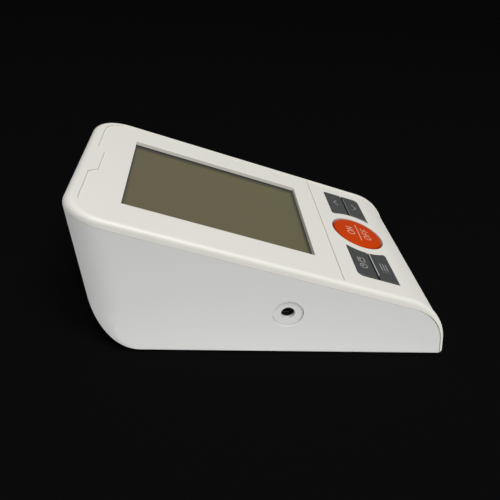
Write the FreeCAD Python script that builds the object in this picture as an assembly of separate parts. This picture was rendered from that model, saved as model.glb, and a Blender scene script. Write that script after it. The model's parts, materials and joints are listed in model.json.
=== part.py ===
import FreeCAD, Part
# Desktop upper-arm blood pressure monitor, as an assembly of separate pieces.
#
# Millimetres, +Z up. The user sits at -Y and the air socket is in the left wall, at -X.
# The case is drawn with y = 0 at the foot of its front wall and z = 0 under its floor; every
# piece is then shifted so that the origin lies under the middle of the standing monitor.
# Pieces under the sloping deck are drawn on the deck: x across, y up the slope, z = 0 on the
# rims beside the deck and negative below them.
import math
import os

V = FreeCAD.Vector
X, Y, Z = V(1, 0, 0), V(0, 1, 0), V(0, 0, 1)

# ---- casing -------------------------------------------------------------------------------
WIDTH = 100.0              # across the case
DECK_REACH = 162.4         # from the foot of the front wall to the corner of deck and rear wall
FRONT_HEIGHT = 23.8        # of the deck's plane above the foot of the front wall
DECK_SLOPE = 14.8          # degrees
FRONT_LEAN = 11.6          # degrees, the front wall leans back
REAR_LEAN = 8.25           # degrees, the rear wall leans out
RIM_FRONT_RADIUS = 27.0    # side rims, where the deck turns down into the front wall
DECK_FRONT_RADIUS = 27.0   # the same turn between the rims
REAR_FOOT_RADIUS = 23.0    # rear wall into the floor
REAR_CORNER_RADIUS = 16.0  # rear upright corners
REAR_EDGE_RADIUS = 3.5     # rear edge of the deck
RIM_EDGE_RADIUS = 1.8      # side edges of the deck
FOOT_EDGE_RADIUS = 2.0     # front and side edges of the floor
WALL = 2.4                 # side and rear walls, floor
COVER_WALL = 2.2           # cover under its deck
FRONT_WALL = 1.9           # lower case behind the apron
SKIRT = 3.6                # cover's height down the sides
APRON = 1.8                # cover's thickness down the front
SEAM_RADIUS = 21.5         # seam's turn behind the front corner
SEAM_GAP = 0.4             # shadow line between apron and lower case
SEAM_DEPTH = 0.8           # depth of the shadow line
SEAM_FIT = 0.1             # between the two shells behind that line and under the skirt
LIP_REACH = 2.4            # cover's lip inside the lower case
LIP_WALL = 1.0
LIP_START = 34.0           # the lip runs from here to the rear
FIT = 0.15                 # clearance of pieces that are seated by hand

# ---- deck and display ---------------------------------------------------------------------
RIM_WIDTH = 2.6            # raised rim beside the deck
RIM_PROUD = 0.45           # rim above the deck
APRON_DISH = 0.3           # rim in front of the apron
REAR_RIM = 7.0             # rim behind the panel
PANEL_FRONT_END = 52.2     # groove in front of the display panel
PANEL_CORNER = 12.0
PANEL_THICK = 1.8
PANEL_GROOVE = 0.2         # width of the groove
PANEL_FIT, PANEL_EDGE = 0.05, 0.2       # gap around the panel, and its rounded edges
TAB_WIDE, TAB_NARROW, TAB_DEEP = 26.0, 18.5, 3.4   # rear rim's tab into the panel
RIM_INNER_EDGE = 0.2
WINDOW_SIDE = 17.4         # from the case's side to the window
WINDOW_FRONT, WINDOW_REAR = 10.4, 15.9   # panel before and behind the window
LENS_BORDER, LENS_THICK = 2.2, 1.0
GASKET_THICK, GASKET_CLEAR = 0.4, 0.1
GLASS_BORDER, GLASS_THICK = 2.4, 2.2
HOLDER_WALL, HOLDER_LEDGE, HOLDER_LEDGE_THICK = 1.8, 2.0, 1.2
STRIP_WIDTH, STRIP_INSET = 1.6, 0.8
LEDGE_THICK = 1.8          # cover under the display panel
OPENING_GAP = 0.4          # around the LCD holder

# ---- buttons ------------------------------------------------------------------------------
KEYS_MIDDLE = 33.8         # centre of the round button, up the slope
BUTTON_RADIUS = 12.3
BUTTON_GAP = 1.0
KEY_LAND_RADIUS = 18.05    # keys curve around the round button at this radius
KEY_HALF_LENGTH = 9.85     # each pair, along the slope
KEY_SIDE = 10.8            # from the case's side to the keys
KEY_SPLIT = 0.9            # between the two keys of a pair
KEY_ROUND, KEY_BLUNT = 2.8, 1.2
KEY_GAP = 0.25
KEY_PROUD = 0.35           # above the deck
BUTTON_PROUD, BUTTON_DOME = 0.7, 0.4
KEY_EDGE, BUTTON_EDGE = 0.5, 0.9
FLANGE_HOLD, FLANGE_THICK, FLANGE_GAP = 0.95, 1.0, 0.45   # the first is beyond the opening
KEY_TRAVEL = 0.8
STEM_RADIUS = 2.4
KEY_STEM_INSET, KEY_STEM_Y = 10.5, 5.4   # from the outer edge and from the middle of the pair
SWITCH_SIZE, SWITCH_HEIGHT = 6.0, 3.5
PLUNGER_RADIUS, PLUNGER_SHOWS, PLUNGER_BURIED, PLUNGER_SPARE = 1.7, 1.0, 1.2, 0.2
RUNNING_FIT = 0.05

# ---- main board ---------------------------------------------------------------------------
BOARD_TOP = -10.2          # its upper face below the rims
BOARD_THICK = 1.6
BOARD_FRONT, BOARD_REAR_INSET = 17.0, 11.0                # from the panel's rear end
BOARD_POST_FRONT, BOARD_POST_REAR_INSET = 51.0, 45.0
BOARD_POST_RADIUS, BOARD_CORNER = 2.5, 2.0
BOARD_POST_CLEAR, BOARD_POST_EDGE = 1.35, 2.5             # to the LCD holder and board's edge
BOARD_SCREW_RADIUS, BOARD_SCREW_LENGTH = 1.1, 5.0
BOARD_SCREW_HEAD_RADIUS, BOARD_SCREW_HEAD = 2.0, 1.2
CHIP_SIZE, CHIP_THICK, CHIP_X, CHIP_Y = 10.0, 1.6, 4.0, 62.0
BUZZER_RADIUS, BUZZER_HOLE, BUZZER_HEIGHT, BUZZER_X, BUZZER_INSET = 6.0, 1.2, 5.0, -18.0, 16.0
CAPACITOR_RADIUS, CAPACITOR_HEIGHT, CAPACITOR_STEP, CAPACITOR_COUNT = 3.1, 7.0, 8.0, 3
CAPACITOR_X, CAPACITOR_Y = 16.0, 78.0
SENSOR_SIZE, SENSOR_HEIGHT = 8.0, 4.0

# ---- case screws and feet -----------------------------------------------------------------
POST_FRONT_Y, POST_REAR_INSET = 14.0, 34.4
POST_RADIUS, PILLAR_RADIUS, PILLAR_GAP = 4.2, 3.4, 0.5
POST_FRONT_MEET, POST_REAR_MEET = 9.0, 30.0   # where the posts of the two shells meet
SCREW_RADIUS, SCREW_HEAD_RADIUS, SCREW_HEAD = 1.5, 2.6, 2.0
SCREW_LENGTH, SCREW_SEAT, SCREW_SPARE = 9.0, 3.0, 1.0
SCREW_CLEARANCE, THREAD_FIT = 0.25, 0.02
CROSS_LENGTH, CROSS_WIDTH, CROSS_DEPTH = 2.8, 0.7, 1.0   # recess in the screw heads
FOOT_SIDE, FOOT_FRONT_Y, FOOT_REAR_INSET = 14.0, 27.0, 41.4
FOOT_RADIUS, FOOT_PROUD, FOOT_SEAT, FOOT_EDGE = 5.0, 0.8, 0.6, 0.3
LABEL_WIDTH, LABEL_LENGTH, LABEL_THICK, LABEL_INSET = 48.0, 20.0, 0.2, 18.0

# ---- battery bay --------------------------------------------------------------------------
CELL_RADIUS, CELL_LENGTH = 7.25, 50.5
CELL_NUB_RADIUS, CELL_NUB = 2.75, 1.2
CELL_COUNT = 4
CELL_GAP = 0.4
SPRING_ROOM, PLATE_THICK = 5.0, 0.4
SPRING_WIRE, SPRING_WIDE, SPRING_NARROW = 0.35, 4.5, 2.6
SPRING_TURNS, SPRING_SIDES = 3, 10         # bends in each turn
BAY_WALL = 1.6
DOOR_THICK, DOOR_GAP, DOOR_LEDGE = 2.0, 0.35, 1.0
DOOR_RIB, DOOR_RIB_WIDTH, DOOR_RIB_X = 0.6, 1.2, 16.0
HOOK_WIDTH, HOOK_REACH, HOOK_THICK, HOOK_X, HOOK_GAP = 8.0, 2.0, 1.4, 20.0, 0.3
LATCH_WIDTH, LATCH_LENGTH, LATCH_SLOT = 16.0, 10.0, 1.0
GRIP_COUNT, GRIP_STEP, GRIP_LENGTH, GRIP_WIDTH, GRIP_DEPTH = 3, 2.0, 8.0, 0.8, 0.5
THUMB_RADIUS, THUMB_LENGTH, THUMB_DEPTH = 20.0, 8.0, 1.2
PLATE_HEIGHT, PLATE_WIDTH, TAB_RUN, TAB_HALF = 11.0, 11.0, 4.5, 1.0

# ---- air system ---------------------------------------------------------------------------
SOCKET_INSET, SOCKET_Z = 90.0, 21.2        # from the deck's rear end
SOCKET_FACE_RADIUS, SOCKET_BORE = 6.3, 2.9
SOCKET_SUNK, SOCKET_FLANGE, SOCKET_FLANGE_THICK = 0.8, 8.0, 1.6
SOCKET_BODY_RADIUS, SOCKET_BORE_LENGTH = 4.9, 8.5
O_RING_WIRE = 0.5
LINE_INSET = 9.5           # the air line runs along the left wall
NOZZLE_RADIUS, NOZZLE_BORE, NOZZLE_LENGTH = 1.6, 0.9, 3.5
SHORT_NOZZLE = 1.8         # at the sensor, where the tube bends at once
TUBE_RADIUS, TUBE_FIT = 2.3, 0.02
TUBE_BARE = 1.0            # tube between two facing nozzles
MANIFOLD_LENGTH, MANIFOLD_RADIUS = 14.0, 2.6
SENSOR_PORT, PUMP_PORT, PUMP_PORT_RISE = 3.0, 10.0, 5.0   # along and above the manifold
VALVE_LENGTH, VALVE_SIZE, VALVE_SHEET = 14.0, 12.0, 0.8
COIL_RADIUS, VALVE_SEAT, VALVE_BOSS_RADIUS = 5.0, 3.0, 2.4
VALVE_STROKE, PLUNGER_ROD, PLUNGER_TAIL = 0.8, 2.0, 1.5
COLLAR_RADIUS, COLLAR_THICK, COLLAR_GAP = 3.2, 1.0, 0.3   # keeps the plunger in the frame
PEDESTAL_WIDTH, PEDESTAL_LENGTH = 8.0, 9.0
PUMP_INSET, PUMP_Z, PUMP_CLEAR = 23.4, 27.0, 6.4           # the last is to the battery bay
PUMP_MOTOR_RADIUS, PUMP_MOTOR_LENGTH, PUMP_MOTOR_WALL = 12.0, 31.0, 1.0
PUMP_HEAD_RADIUS, PUMP_HEAD_LENGTH, PUMP_HEAD_X = 13.2, 18.0, -20.0
HEAD_ROOM_RADIUS, HEAD_ROOM_LENGTH = 8.0, 8.0
SLEEVE_WALL, SLEEVE_LENGTH, SLEEVE_START = 1.4, 18.0, 6.0
CRADLE_THICK, CRADLE_WALL, CRADLE_RISE, CRADLE_FIT = 2.0, 2.0, 4.0, 0.05
SHAFT_RADIUS, ROTOR_RADIUS, ROTOR_LENGTH = 1.0, 8.5, 20.0
ECCENTRIC_RADIUS, ECCENTRIC_OFFSET, ECCENTRIC_LENGTH, SHAFT_SPARE = 3.5, 1.2, 4.0, 0.4

# ---- power --------------------------------------------------------------------------------
JACK_INSET, JACK_Z = 58.4, 20.4
JACK_BARREL, JACK_BORE, JACK_BORE_LENGTH, JACK_PIN = 4.0, 2.85, 9.0, 1.0
JACK_BODY, JACK_BODY_LENGTH, JACK_SUNK = 11.0, 13.0, 0.3
LEAD_RADIUS, LEAD_GAP, LEAD_SWAY = 0.7, 0.2, 1.6
BATTERY_LEAD_RUN, PUMP_LEAD_RUN, JACK_LEAD_RUN = 2.0, -4.0, 3.0   # along y, on the way up
PUMP_TERMINAL, JACK_TERMINAL = 4.0, 3.0                           # to each side of the middle

SLOPE, FRONT, REAR = (math.radians(a) for a in (DECK_SLOPE, FRONT_LEAN, REAR_LEAN))
HALF = WIDTH / 2
REAR_TOP = FRONT_HEIGHT + DECK_REACH * math.tan(SLOPE)
DECK_TOP = -RIM_PROUD
DECK_HALF = HALF - RIM_WIDTH
COVER_UNDER = DECK_TOP - COVER_WALL
PANEL_UNDER = DECK_TOP - PANEL_THICK
LENS_UNDER = PANEL_UNDER - LENS_THICK
GASKET_UNDER = LENS_UNDER - GASKET_THICK
GLASS_UNDER = GASKET_UNDER - GLASS_THICK
LEDGE_UNDER = PANEL_UNDER - LEDGE_THICK
FRONT_INSET = APRON + SEAM_GAP + FRONT_WALL
FLANGE_TOP = COVER_UNDER - FLANGE_GAP
FLANGE_UNDER = FLANGE_TOP - FLANGE_THICK
SWITCH_TOP = BOARD_TOP + SWITCH_HEIGHT
PLUNGER_TOP = SWITCH_TOP + PLUNGER_SHOWS
BOARD_UNDER = BOARD_TOP - BOARD_THICK
PANEL_TOP_END = DECK_REACH / math.cos(SLOPE) - REAR_RIM
WINDOW_WIDTH = WIDTH - 2 * WINDOW_SIDE
WINDOW_LENGTH = PANEL_TOP_END - WINDOW_REAR - PANEL_FRONT_END - WINDOW_FRONT
WINDOW_MIDDLE = PANEL_FRONT_END + WINDOW_FRONT + WINDOW_LENGTH / 2
KEY_OUTER = HALF - KEY_SIDE
KEY_STEM_X = KEY_OUTER - KEY_STEM_INSET
HOLDER_BORDER = GLASS_BORDER + FIT + HOLDER_WALL
BOARD_POST_X = WINDOW_WIDTH / 2 + HOLDER_BORDER + BOARD_POST_CLEAR + BOARD_POST_RADIUS
BOARD_POST_REAR = PANEL_TOP_END - BOARD_POST_REAR_INSET
BOARD_HALF_WIDTH = BOARD_POST_X + BOARD_POST_EDGE
BOARD_REAR = PANEL_TOP_END - BOARD_REAR_INSET
POST_X = HALF - WALL - POST_RADIUS
POST_REAR_Y, FOOT_REAR_Y, SOCKET_Y, JACK_Y, PUMP_Y = (DECK_REACH - inset for inset in (
    POST_REAR_INSET, FOOT_REAR_INSET, SOCKET_INSET, JACK_INSET, PUMP_INSET))
FOOT_X = HALF - FOOT_SIDE
LINE_X = LINE_INSET - HALF
SLEEVE_RADIUS = PUMP_MOTOR_RADIUS + SLEEVE_WALL
BAY_REAR = PUMP_Y - SLEEVE_RADIUS - PUMP_CLEAR
BAY_FRONT = BAY_REAR - 2 * BAY_WALL - CELL_COUNT * (2 * CELL_RADIUS + CELL_GAP) - CELL_GAP
BUZZER_Y, LABEL_Y = BAY_FRONT - BUZZER_INSET, BAY_FRONT - LABEL_INSET
HUGE = 4 * DECK_REACH      # larger than the monitor, for cutting blocks
TOLERANCE = 1e-4
TURN_SHARE = 0.45          # of a tube's run that its turn may take
OVER = 1.0                 # how far a cut runs past the face it opens
WORKSHOP = FreeCAD.newDocument("workshop")


# ---- basic shapes -------------------------------------------------------------------------
def box(x, y, z):
    """A block between two limits on each axis."""
    block = Part.makeBox(x[1] - x[0], y[1] - y[0], z[1] - z[0])
    block.translate(V(x[0], y[0], z[0]))
    return block


def rod(radius, start, along, length):
    return Part.makeCylinder(radius, length, start, along)


def ring(outer, inner, start, along, length):
    return rod(outer, start, along, length).cut(rod(inner, start, along, length))


def fuse(first, *others):
    return first.fuse(list(others)).removeSplitter()


def rounded_wire(points, radii):
    """A closed outline through points, each corner rounded by its own radius."""
    corners = []
    for i, (point, radius) in enumerate(zip(points, radii)):
        back = (points[i - 1] - point).normalize()
        ahead = (points[(i + 1) % len(points)] - point).normalize()
        half = back.getAngle(ahead) / 2
        reach = radius / math.tan(half)
        middle = (back + ahead).normalize() * (radius / math.sin(half) - radius)
        corners.append((point + back * reach, point + middle, point + ahead * reach))
    edges = []
    for i, (start, middle, end) in enumerate(corners):
        if radii[i] > 0:
            edges.append(Part.Arc(start, middle, end).toShape())
        edges.append(Part.LineSegment(end, corners[(i + 1) % len(corners)][0]).toShape())
    return Part.Wire(edges)


def plate(outline, radii, z):
    """A flat plate between two heights, from (x, y) corners and their radii."""
    wire = rounded_wire([V(x, y, z[0]) for x, y in outline], radii)
    return Part.Face(wire).extrude(Z * (z[1] - z[0]))


def round_edges(shape, radius, wanted):
    """Fillets the edges for which wanted(edge) is true."""
    return shape.makeFillet(radius, [edge for edge in shape.Edges if wanted(edge)])


def tube_path(points):
    """Straight runs joined by tangent arcs, as large as their runs allow."""
    edges, start = [], points[0]
    for before, point, after in zip(points, points[1:], points[2:]):
        back, ahead = before - point, after - point
        reach = TURN_SHARE * min(back.Length, ahead.Length)
        back.normalize()
        ahead.normalize()
        half = back.getAngle(ahead) / 2
        radius = reach * math.tan(half)
        middle = point + (back + ahead).normalize() * (radius / math.sin(half) - radius)
        edges.append(Part.LineSegment(start, point + back * reach).toShape())
        edges.append(Part.Arc(point + back * reach, middle, point + ahead * reach).toShape())
        start = point + ahead * reach
    edges.append(Part.LineSegment(start, points[-1]).toShape())
    return Part.Wire(edges)


def swept(points, radius):
    path = tube_path(points)
    start = Part.Wire(Part.makeCircle(radius, points[0], points[1] - points[0]))
    return path.makePipeShell([start], True, False)


def tube(points, radius, bore):
    return swept(points, radius).cut(swept(points, bore))


def on_deck(shape):
    """Places a shape that is drawn on the deck."""
    placed = shape.copy()
    placed.rotate(V(0, 0, 0), X, DECK_SLOPE)
    placed.translate(Z * FRONT_HEIGHT)
    return placed


def deck_point(x, y, z):
    return V(x, y * math.cos(SLOPE) - z * math.sin(SLOPE),
             FRONT_HEIGHT + y * math.sin(SLOPE) + z * math.cos(SLOPE))


# ---- the case's outline -------------------------------------------------------------------
def meet(first, second):
    """Where two lines cross; each is a point and a direction in the (y, z) plane."""
    (p, d), (q, e) = first, second
    along = ((q[0] - p[0]) * e[1] - (q[1] - p[1]) * e[0]) / (d[0] * e[1] - d[1] * e[0])
    return V(0, p[0] + along * d[0], p[1] + along * d[1])


def wall_line(wall, inset):
    """One side of the case's profile, moved inwards."""
    lines = {
        "floor": ((0, 0), (1, 0), (0, 1)),
        "rear": ((DECK_REACH, REAR_TOP), (math.sin(REAR), math.cos(REAR)),
                 (-math.cos(REAR), math.sin(REAR))),
        "deck": ((0, FRONT_HEIGHT), (math.cos(SLOPE), math.sin(SLOPE)),
                 (math.sin(SLOPE), -math.cos(SLOPE))),
        "front": ((0, 0), (math.sin(FRONT), math.cos(FRONT)),
                  (math.cos(FRONT), -math.sin(FRONT))),
    }
    point, direction, inward = lines[wall]
    return ((point[0] + inset * inward[0], point[1] + inset * inward[1]), direction)


def profile_corners(front, deck, rear, floor):
    lines = [wall_line("floor", floor), wall_line("front", front),
             wall_line("deck", deck), wall_line("rear", rear)]
    return [meet(lines[i], lines[(i + 1) % 4]) for i in range(4)]


def prism(corners, radii, x):
    """A profile in the (y, z) plane, drawn out between two places across the case."""
    solid = Part.Face(rounded_wire(corners, radii)).extrude(X * (x[1] - x[0]))
    solid.translate(X * x[0])
    return solid


def both_halves(right):
    """A right half and its mirror image as one solid."""
    return right.fuse(right.mirror(V(0, 0, 0), X)).removeSplitter().Solids[0]


def varied_fillets(solid, radii_of):
    """Fillets every edge for which radii_of(edge, start, end) gives a radius at each end."""
    rules = []
    for number, edge in enumerate(solid.Edges, 1):
        ends = edge.valueAt(edge.FirstParameter), edge.valueAt(edge.LastParameter)
        radii = radii_of(edge, *ends)
        if radii:
            rules.append((number, *radii))
    source = WORKSHOP.addObject("Part::Feature", "source")
    source.Shape = solid
    fillet = WORKSHOP.addObject("Part::Fillet", "fillet")
    fillet.Base = source
    fillet.Edges = rules
    WORKSHOP.recompute()
    return fillet.Shape.Solids[0]


def same(first, second):
    return abs(first - second) < TOLERANCE


def on_side(start, end, half_width):
    return same(start.x, half_width) and same(end.x, half_width)


def round_walls(block, inset):
    """Edges of the floor and the rear upright corners, which narrow where the wall turns under."""
    wide, narrow = REAR_CORNER_RADIUS - inset, FOOT_EDGE_RADIUS
    floor = block.BoundBox.ZMin

    def radii(edge, start, end):
        side, front = on_side(start, end, HALF - inset), max(start.y, end.y) < DECK_REACH / 2
        straight = edge.Curve.TypeId == "Part::GeomLine"
        if straight and same(start.z, floor) and same(end.z, floor) and (side or front):
            return narrow, narrow
        if not side or min(start.y, end.y) < DECK_REACH / 2:
            return None
        if straight:
            return wide, wide
        return (wide, narrow) if start.z > end.z else (narrow, wide)

    return varied_fillets(block, radii)


def round_deck(block):
    """Edges around the deck, soft at the rear and tight along the sides and front wall."""
    def on_plane(point):
        return same(point.z, FRONT_HEIGHT + point.y * math.tan(SLOPE))

    def radii(start, end, corner):
        tight, soft = RIM_EDGE_RADIUS, REAR_EDGE_RADIUS
        if on_side(start, end, HALF):
            front_wall = max(start.y, end.y) < DECK_REACH / 2 and max(start.z, end.z) > tight
            return (tight, tight) if front_wall or on_plane(start) and on_plane(end) else None
        behind = max(start.y, end.y) > DECK_REACH / 2 and max(start.x, end.x) > TOLERANCE
        if not (behind and on_plane(start) and on_plane(end)):
            return None
        return (soft, soft) if same(start.y, end.y) else corner

    # The corner's radii follow the chain of edges, which may run either way. Only the right
    # way meets its neighbours' radii, and that one cuts less away.
    ways = [(RIM_EDGE_RADIUS, REAR_EDGE_RADIUS), (REAR_EDGE_RADIUS, RIM_EDGE_RADIUS)]
    return max((varied_fillets(block, lambda edge, start, end, way=way: radii(start, end, way))
                for way in ways), key=lambda shape: shape.Volume)


def case_block(inset):
    """The closed outside of the case, before it is split."""
    corners = profile_corners(inset, inset, inset, inset)
    radii = [0, RIM_FRONT_RADIUS - inset, 0, REAR_FOOT_RADIUS - inset]
    half = round_walls(prism(corners, radii, (0, HALF - inset)), inset)
    return both_halves(half if inset else round_deck(half))


def hollow(inset, ceiling=-COVER_UNDER):
    """The room inside the walls, drawn in by inset, up to a ceiling below the rims."""
    corners = profile_corners(FRONT_INSET + inset, ceiling, WALL + inset, WALL + inset)
    radii = [0, RIM_FRONT_RADIUS - FRONT_INSET - inset, 0, REAR_FOOT_RADIUS - WALL - inset]
    half = prism(corners, radii, (0, HALF - WALL - inset))
    return both_halves(round_walls(half, WALL + inset))


def below_seam(out, up):
    """Everything under the seam, moved out of the front wall and up towards the deck."""
    front, deck = wall_line("front", APRON - out), wall_line("deck", SKIRT - up)
    low, far = ((0, -HUGE), (1, 0)), ((HUGE, 0), (0, 1))
    corners = [meet(low, front), meet(front, deck), meet(deck, far), meet(far, low)]
    return prism(corners, [0, SEAM_RADIUS, 0, 0], (-WIDTH, WIDTH))


def deck_block(x, y, z):
    return on_deck(box(x, y, z))


def seam_ring():
    """The shadow line around the case."""
    skin = case_block(0).cut(case_block(SEAM_DEPTH))
    return skin.common(below_seam(SEAM_GAP, 0).cut(below_seam(-SEAM_FIT, -SEAM_FIT)))


def deck_area(grow):
    """The area inside the rims, from the tabbed rear rim to beyond the front wall."""
    wide, end = DECK_HALF + grow, PANEL_TOP_END + grow
    area = plate([(-wide, -HUGE), (wide, -HUGE), (wide, end), (-wide, end)],
                 [0, 0, PANEL_CORNER, PANEL_CORNER], (-HUGE, HUGE))
    base, tip = TAB_WIDE / 2 - grow, TAB_NARROW / 2 - grow
    tab = plate([(-base, end + OVER), (-base, end), (-tip, PANEL_TOP_END - TAB_DEEP + grow),
                 (tip, PANEL_TOP_END - TAB_DEEP + grow), (base, end), (base, end + OVER)],
                [0] * 6, (-HUGE, HUGE))
    return area.cut(tab)


def deck_core():
    """Everything under the deck and behind the apron's face."""
    front, deck = wall_line("front", APRON_DISH), wall_line("deck", RIM_PROUD)
    low, far = ((0, -HUGE), (1, 0)), ((HUGE, 0), (0, 1))
    corners = [meet(low, front), meet(front, deck), meet(deck, far), meet(far, low)]
    return prism(corners, [0, DECK_FRONT_RADIUS, 0, 0], (-WIDTH, WIDTH))


def dished_block():
    """The outside of the case with the deck sunk between its rims."""
    block = case_block(0).cut(on_deck(deck_area(0)).cut(deck_core()))

    def rim_edge(edge):
        points = [edge.valueAt(edge.FirstParameter), edge.valueAt(edge.LastParameter)]
        level = all(same(p.z, FRONT_HEIGHT + p.y * math.tan(SLOPE)) for p in points)
        return level and max(abs(p.x) for p in points) < DECK_HALF + TOLERANCE

    return round_edges(block, RIM_INNER_EDGE, rim_edge)


# ---- openings shared by a piece and its neighbour -----------------------------------------
def framed(width, length, middle, z):
    """A plate centred on the display."""
    return box((-width / 2, width / 2), (middle - length / 2, middle + length / 2), z)


def window_plate(border, z):
    return framed(WINDOW_WIDTH + 2 * border, WINDOW_LENGTH + 2 * border, WINDOW_MIDDLE, z)


def key_pair(grow, z):
    """The right pair of keys as one plate, around the centre of the round button."""
    outer, end = KEY_OUTER + grow, KEY_HALF_LENGTH + grow
    pair = plate([(0, -end), (outer, -end), (outer, end), (0, end)],
                 [0, KEY_ROUND, 0, 0], z)
    pair = pair.cut(rod(KEY_LAND_RADIUS - grow, Z * (z[0] - OVER), Z, z[1] - z[0] + 2 * OVER))

    def blunt_corner(edge):
        points = [vertex.Point for vertex in edge.Vertexes]
        upright = same(points[0].x, points[-1].x) and same(points[0].y, points[-1].y)
        return upright and same(points[0].y, end) and points[0].x < outer - KEY_ROUND

    return round_edges(pair, KEY_BLUNT, blunt_corner)


def by_button(shape, side):
    """Places a shape beside the round button; the left side is the right one turned about."""
    placed = shape.copy()
    if side < 0:
        placed.rotate(V(0, 0, 0), Z, 180)
    placed.translate(Y * KEYS_MIDDLE)
    return on_deck(placed)


# ---- case screws --------------------------------------------------------------------------
POSTS = [(side * POST_X, y, meet_z) for side in (-1, 1)
         for y, meet_z in ((POST_FRONT_Y, POST_FRONT_MEET), (POST_REAR_Y, POST_REAR_MEET))]


def screw(radius, length, head_radius, head):
    """A pan-head screw that points up, with the underside of its head at z = 0."""
    body = fuse(rod(radius, V(0, 0, 0), Z, length), rod(head_radius, V(0, 0, -head), Z, head))
    cross = [box((-a / 2, a / 2), (-b / 2, b / 2), (-head - OVER, -head + CROSS_DEPTH))
             for a, b in ((CROSS_LENGTH, CROSS_WIDTH), (CROSS_WIDTH, CROSS_LENGTH))]
    return body.cut(cross)


def case_screws():
    screws = []
    for x, y, meet_z in POSTS:
        one = screw(SCREW_RADIUS, SCREW_LENGTH, SCREW_HEAD_RADIUS, SCREW_HEAD)
        one.translate(V(x, y, meet_z - SCREW_SEAT))
        screws.append(one)
    return Part.makeCompound(screws)


# ---- battery bay --------------------------------------------------------------------------
BAY_HALF = CELL_LENGTH / 2 + SPRING_ROOM / 2 + PLATE_THICK + FIT
CELL_Z = DOOR_THICK + DOOR_RIB + TUBE_FIT + CELL_RADIUS
BAY_TOP = CELL_Z + CELL_RADIUS + CELL_GAP
DOOR_FRONT = BAY_FRONT + BAY_WALL - DOOR_LEDGE
DOOR_REAR = BAY_REAR - BAY_WALL + DOOR_LEDGE
DOOR_HALF = BAY_HALF + DOOR_LEDGE
STOP_Z = DOOR_THICK + SEAM_FIT


def cell_y(number):
    return BAY_FRONT + BAY_WALL + CELL_GAP + CELL_RADIUS + number * (2 * CELL_RADIUS + CELL_GAP)


def hooks(grow):
    """The door's two hooks over the floor, or the slots that they pass through."""
    return [box((x - HOOK_WIDTH / 2 - grow, x + HOOK_WIDTH / 2 + grow),
                (DOOR_FRONT - HOOK_REACH - 2 * grow, DOOR_FRONT + DOOR_LEDGE + BAY_WALL),
                (WALL + HOOK_GAP - grow, WALL + HOOK_GAP + HOOK_THICK + HOOK_REACH * bool(grow)))
            for x in (-HOOK_X, HOOK_X)]


def latch_sides():
    return [box((x - LATCH_SLOT / 2, x + LATCH_SLOT / 2), (DOOR_REAR - LATCH_LENGTH, DOOR_REAR),
                (-OVER, WALL + BAY_WALL)) for x in (-LATCH_WIDTH / 2, LATCH_WIDTH / 2)]


def battery_door():
    door = box((-DOOR_HALF + DOOR_GAP, DOOR_HALF - DOOR_GAP),
               (DOOR_FRONT + DOOR_GAP, DOOR_REAR - DOOR_GAP), (0, DOOR_THICK))
    ribs = [box((x - DOOR_RIB_WIDTH / 2, x + DOOR_RIB_WIDTH / 2),
                (BAY_FRONT + 2 * BAY_WALL + HOOK_THICK, BAY_REAR - 2 * BAY_WALL),
                (0, DOOR_THICK + DOOR_RIB)) for x in (-DOOR_RIB_X, DOOR_RIB_X)]
    roots = [box((x - HOOK_WIDTH / 2, x + HOOK_WIDTH / 2),
                 (DOOR_FRONT + DOOR_LEDGE, DOOR_FRONT + DOOR_LEDGE + BAY_WALL),
                 (0, WALL + HOOK_GAP)) for x in (-HOOK_X, HOOK_X)]
    grips = [box((-GRIP_LENGTH / 2, GRIP_LENGTH / 2),
                 (y - GRIP_WIDTH / 2, y + GRIP_WIDTH / 2), (-OVER, GRIP_DEPTH))
             for y in (DOOR_REAR - (i + 1) * GRIP_STEP for i in range(GRIP_COUNT))]
    return fuse(door, *ribs, *roots, *hooks(0)).cut(grips + latch_sides())


def battery_cell(number):
    """A cell along X; neighbours lie the other way round."""
    way = 1 if number % 2 == 0 else -1
    start = -BAY_HALF + FIT + PLATE_THICK + SPRING_ROOM
    can = fuse(rod(CELL_RADIUS, V(start, 0, 0), X, CELL_LENGTH - CELL_NUB),
               rod(CELL_NUB_RADIUS, V(start, 0, 0), X, CELL_LENGTH))
    if way < 0:
        can.rotate(V(0, 0, 0), Z, 180)
    can.translate(V(0, cell_y(number), CELL_Z))
    return can


def contact_springs():
    """A conical spring behind the flat end of each cell."""
    length = SPRING_ROOM - 2 * SPRING_WIRE - 2 * FIT
    bends = SPRING_TURNS * SPRING_SIDES
    points = []
    for i in range(bends + 1):
        radius = SPRING_WIDE + (SPRING_NARROW - SPRING_WIDE) * i / bends
        turn = 2 * math.pi * i / SPRING_SIDES
        points.append(V(length * i / bends, radius * math.cos(turn), radius * math.sin(turn)))
    coil = swept(points, SPRING_WIRE)
    coil.translate(X * (-BAY_HALF + FIT + PLATE_THICK + SPRING_WIRE + FIT))
    springs = []
    for number in range(CELL_COUNT):
        spring = coil.copy()
        if number % 2:
            spring.rotate(V(0, 0, 0), Z, 180)
        spring.translate(V(0, cell_y(number), CELL_Z))
        springs.append(spring)
    return Part.makeCompound(springs)


def contact_plates():
    """Plates that join the cells in a row; the first and last have solder tabs."""
    last = CELL_COUNT - 1
    left = [(0, 0)] + [(n, n + 1) for n in range(1, last, 2)] + [(last, last)]
    right = [(n, n + 1) for n in range(0, last, 2)]
    plates = []
    for side, groups in ((-1, left), (1, right)):
        for first, final in groups:
            x = sorted((side * (BAY_HALF - FIT), side * (BAY_HALF - FIT - PLATE_THICK)))
            y = (cell_y(first) - PLATE_WIDTH / 2, cell_y(final) + PLATE_WIDTH / 2)
            one = box(x, y, (CELL_Z - PLATE_HEIGHT / 2, CELL_Z + PLATE_HEIGHT / 2))
            if first == final:
                one = fuse(one, tab_shape(first, 0))
            plates.append(one)
    return Part.makeCompound(plates)


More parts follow.
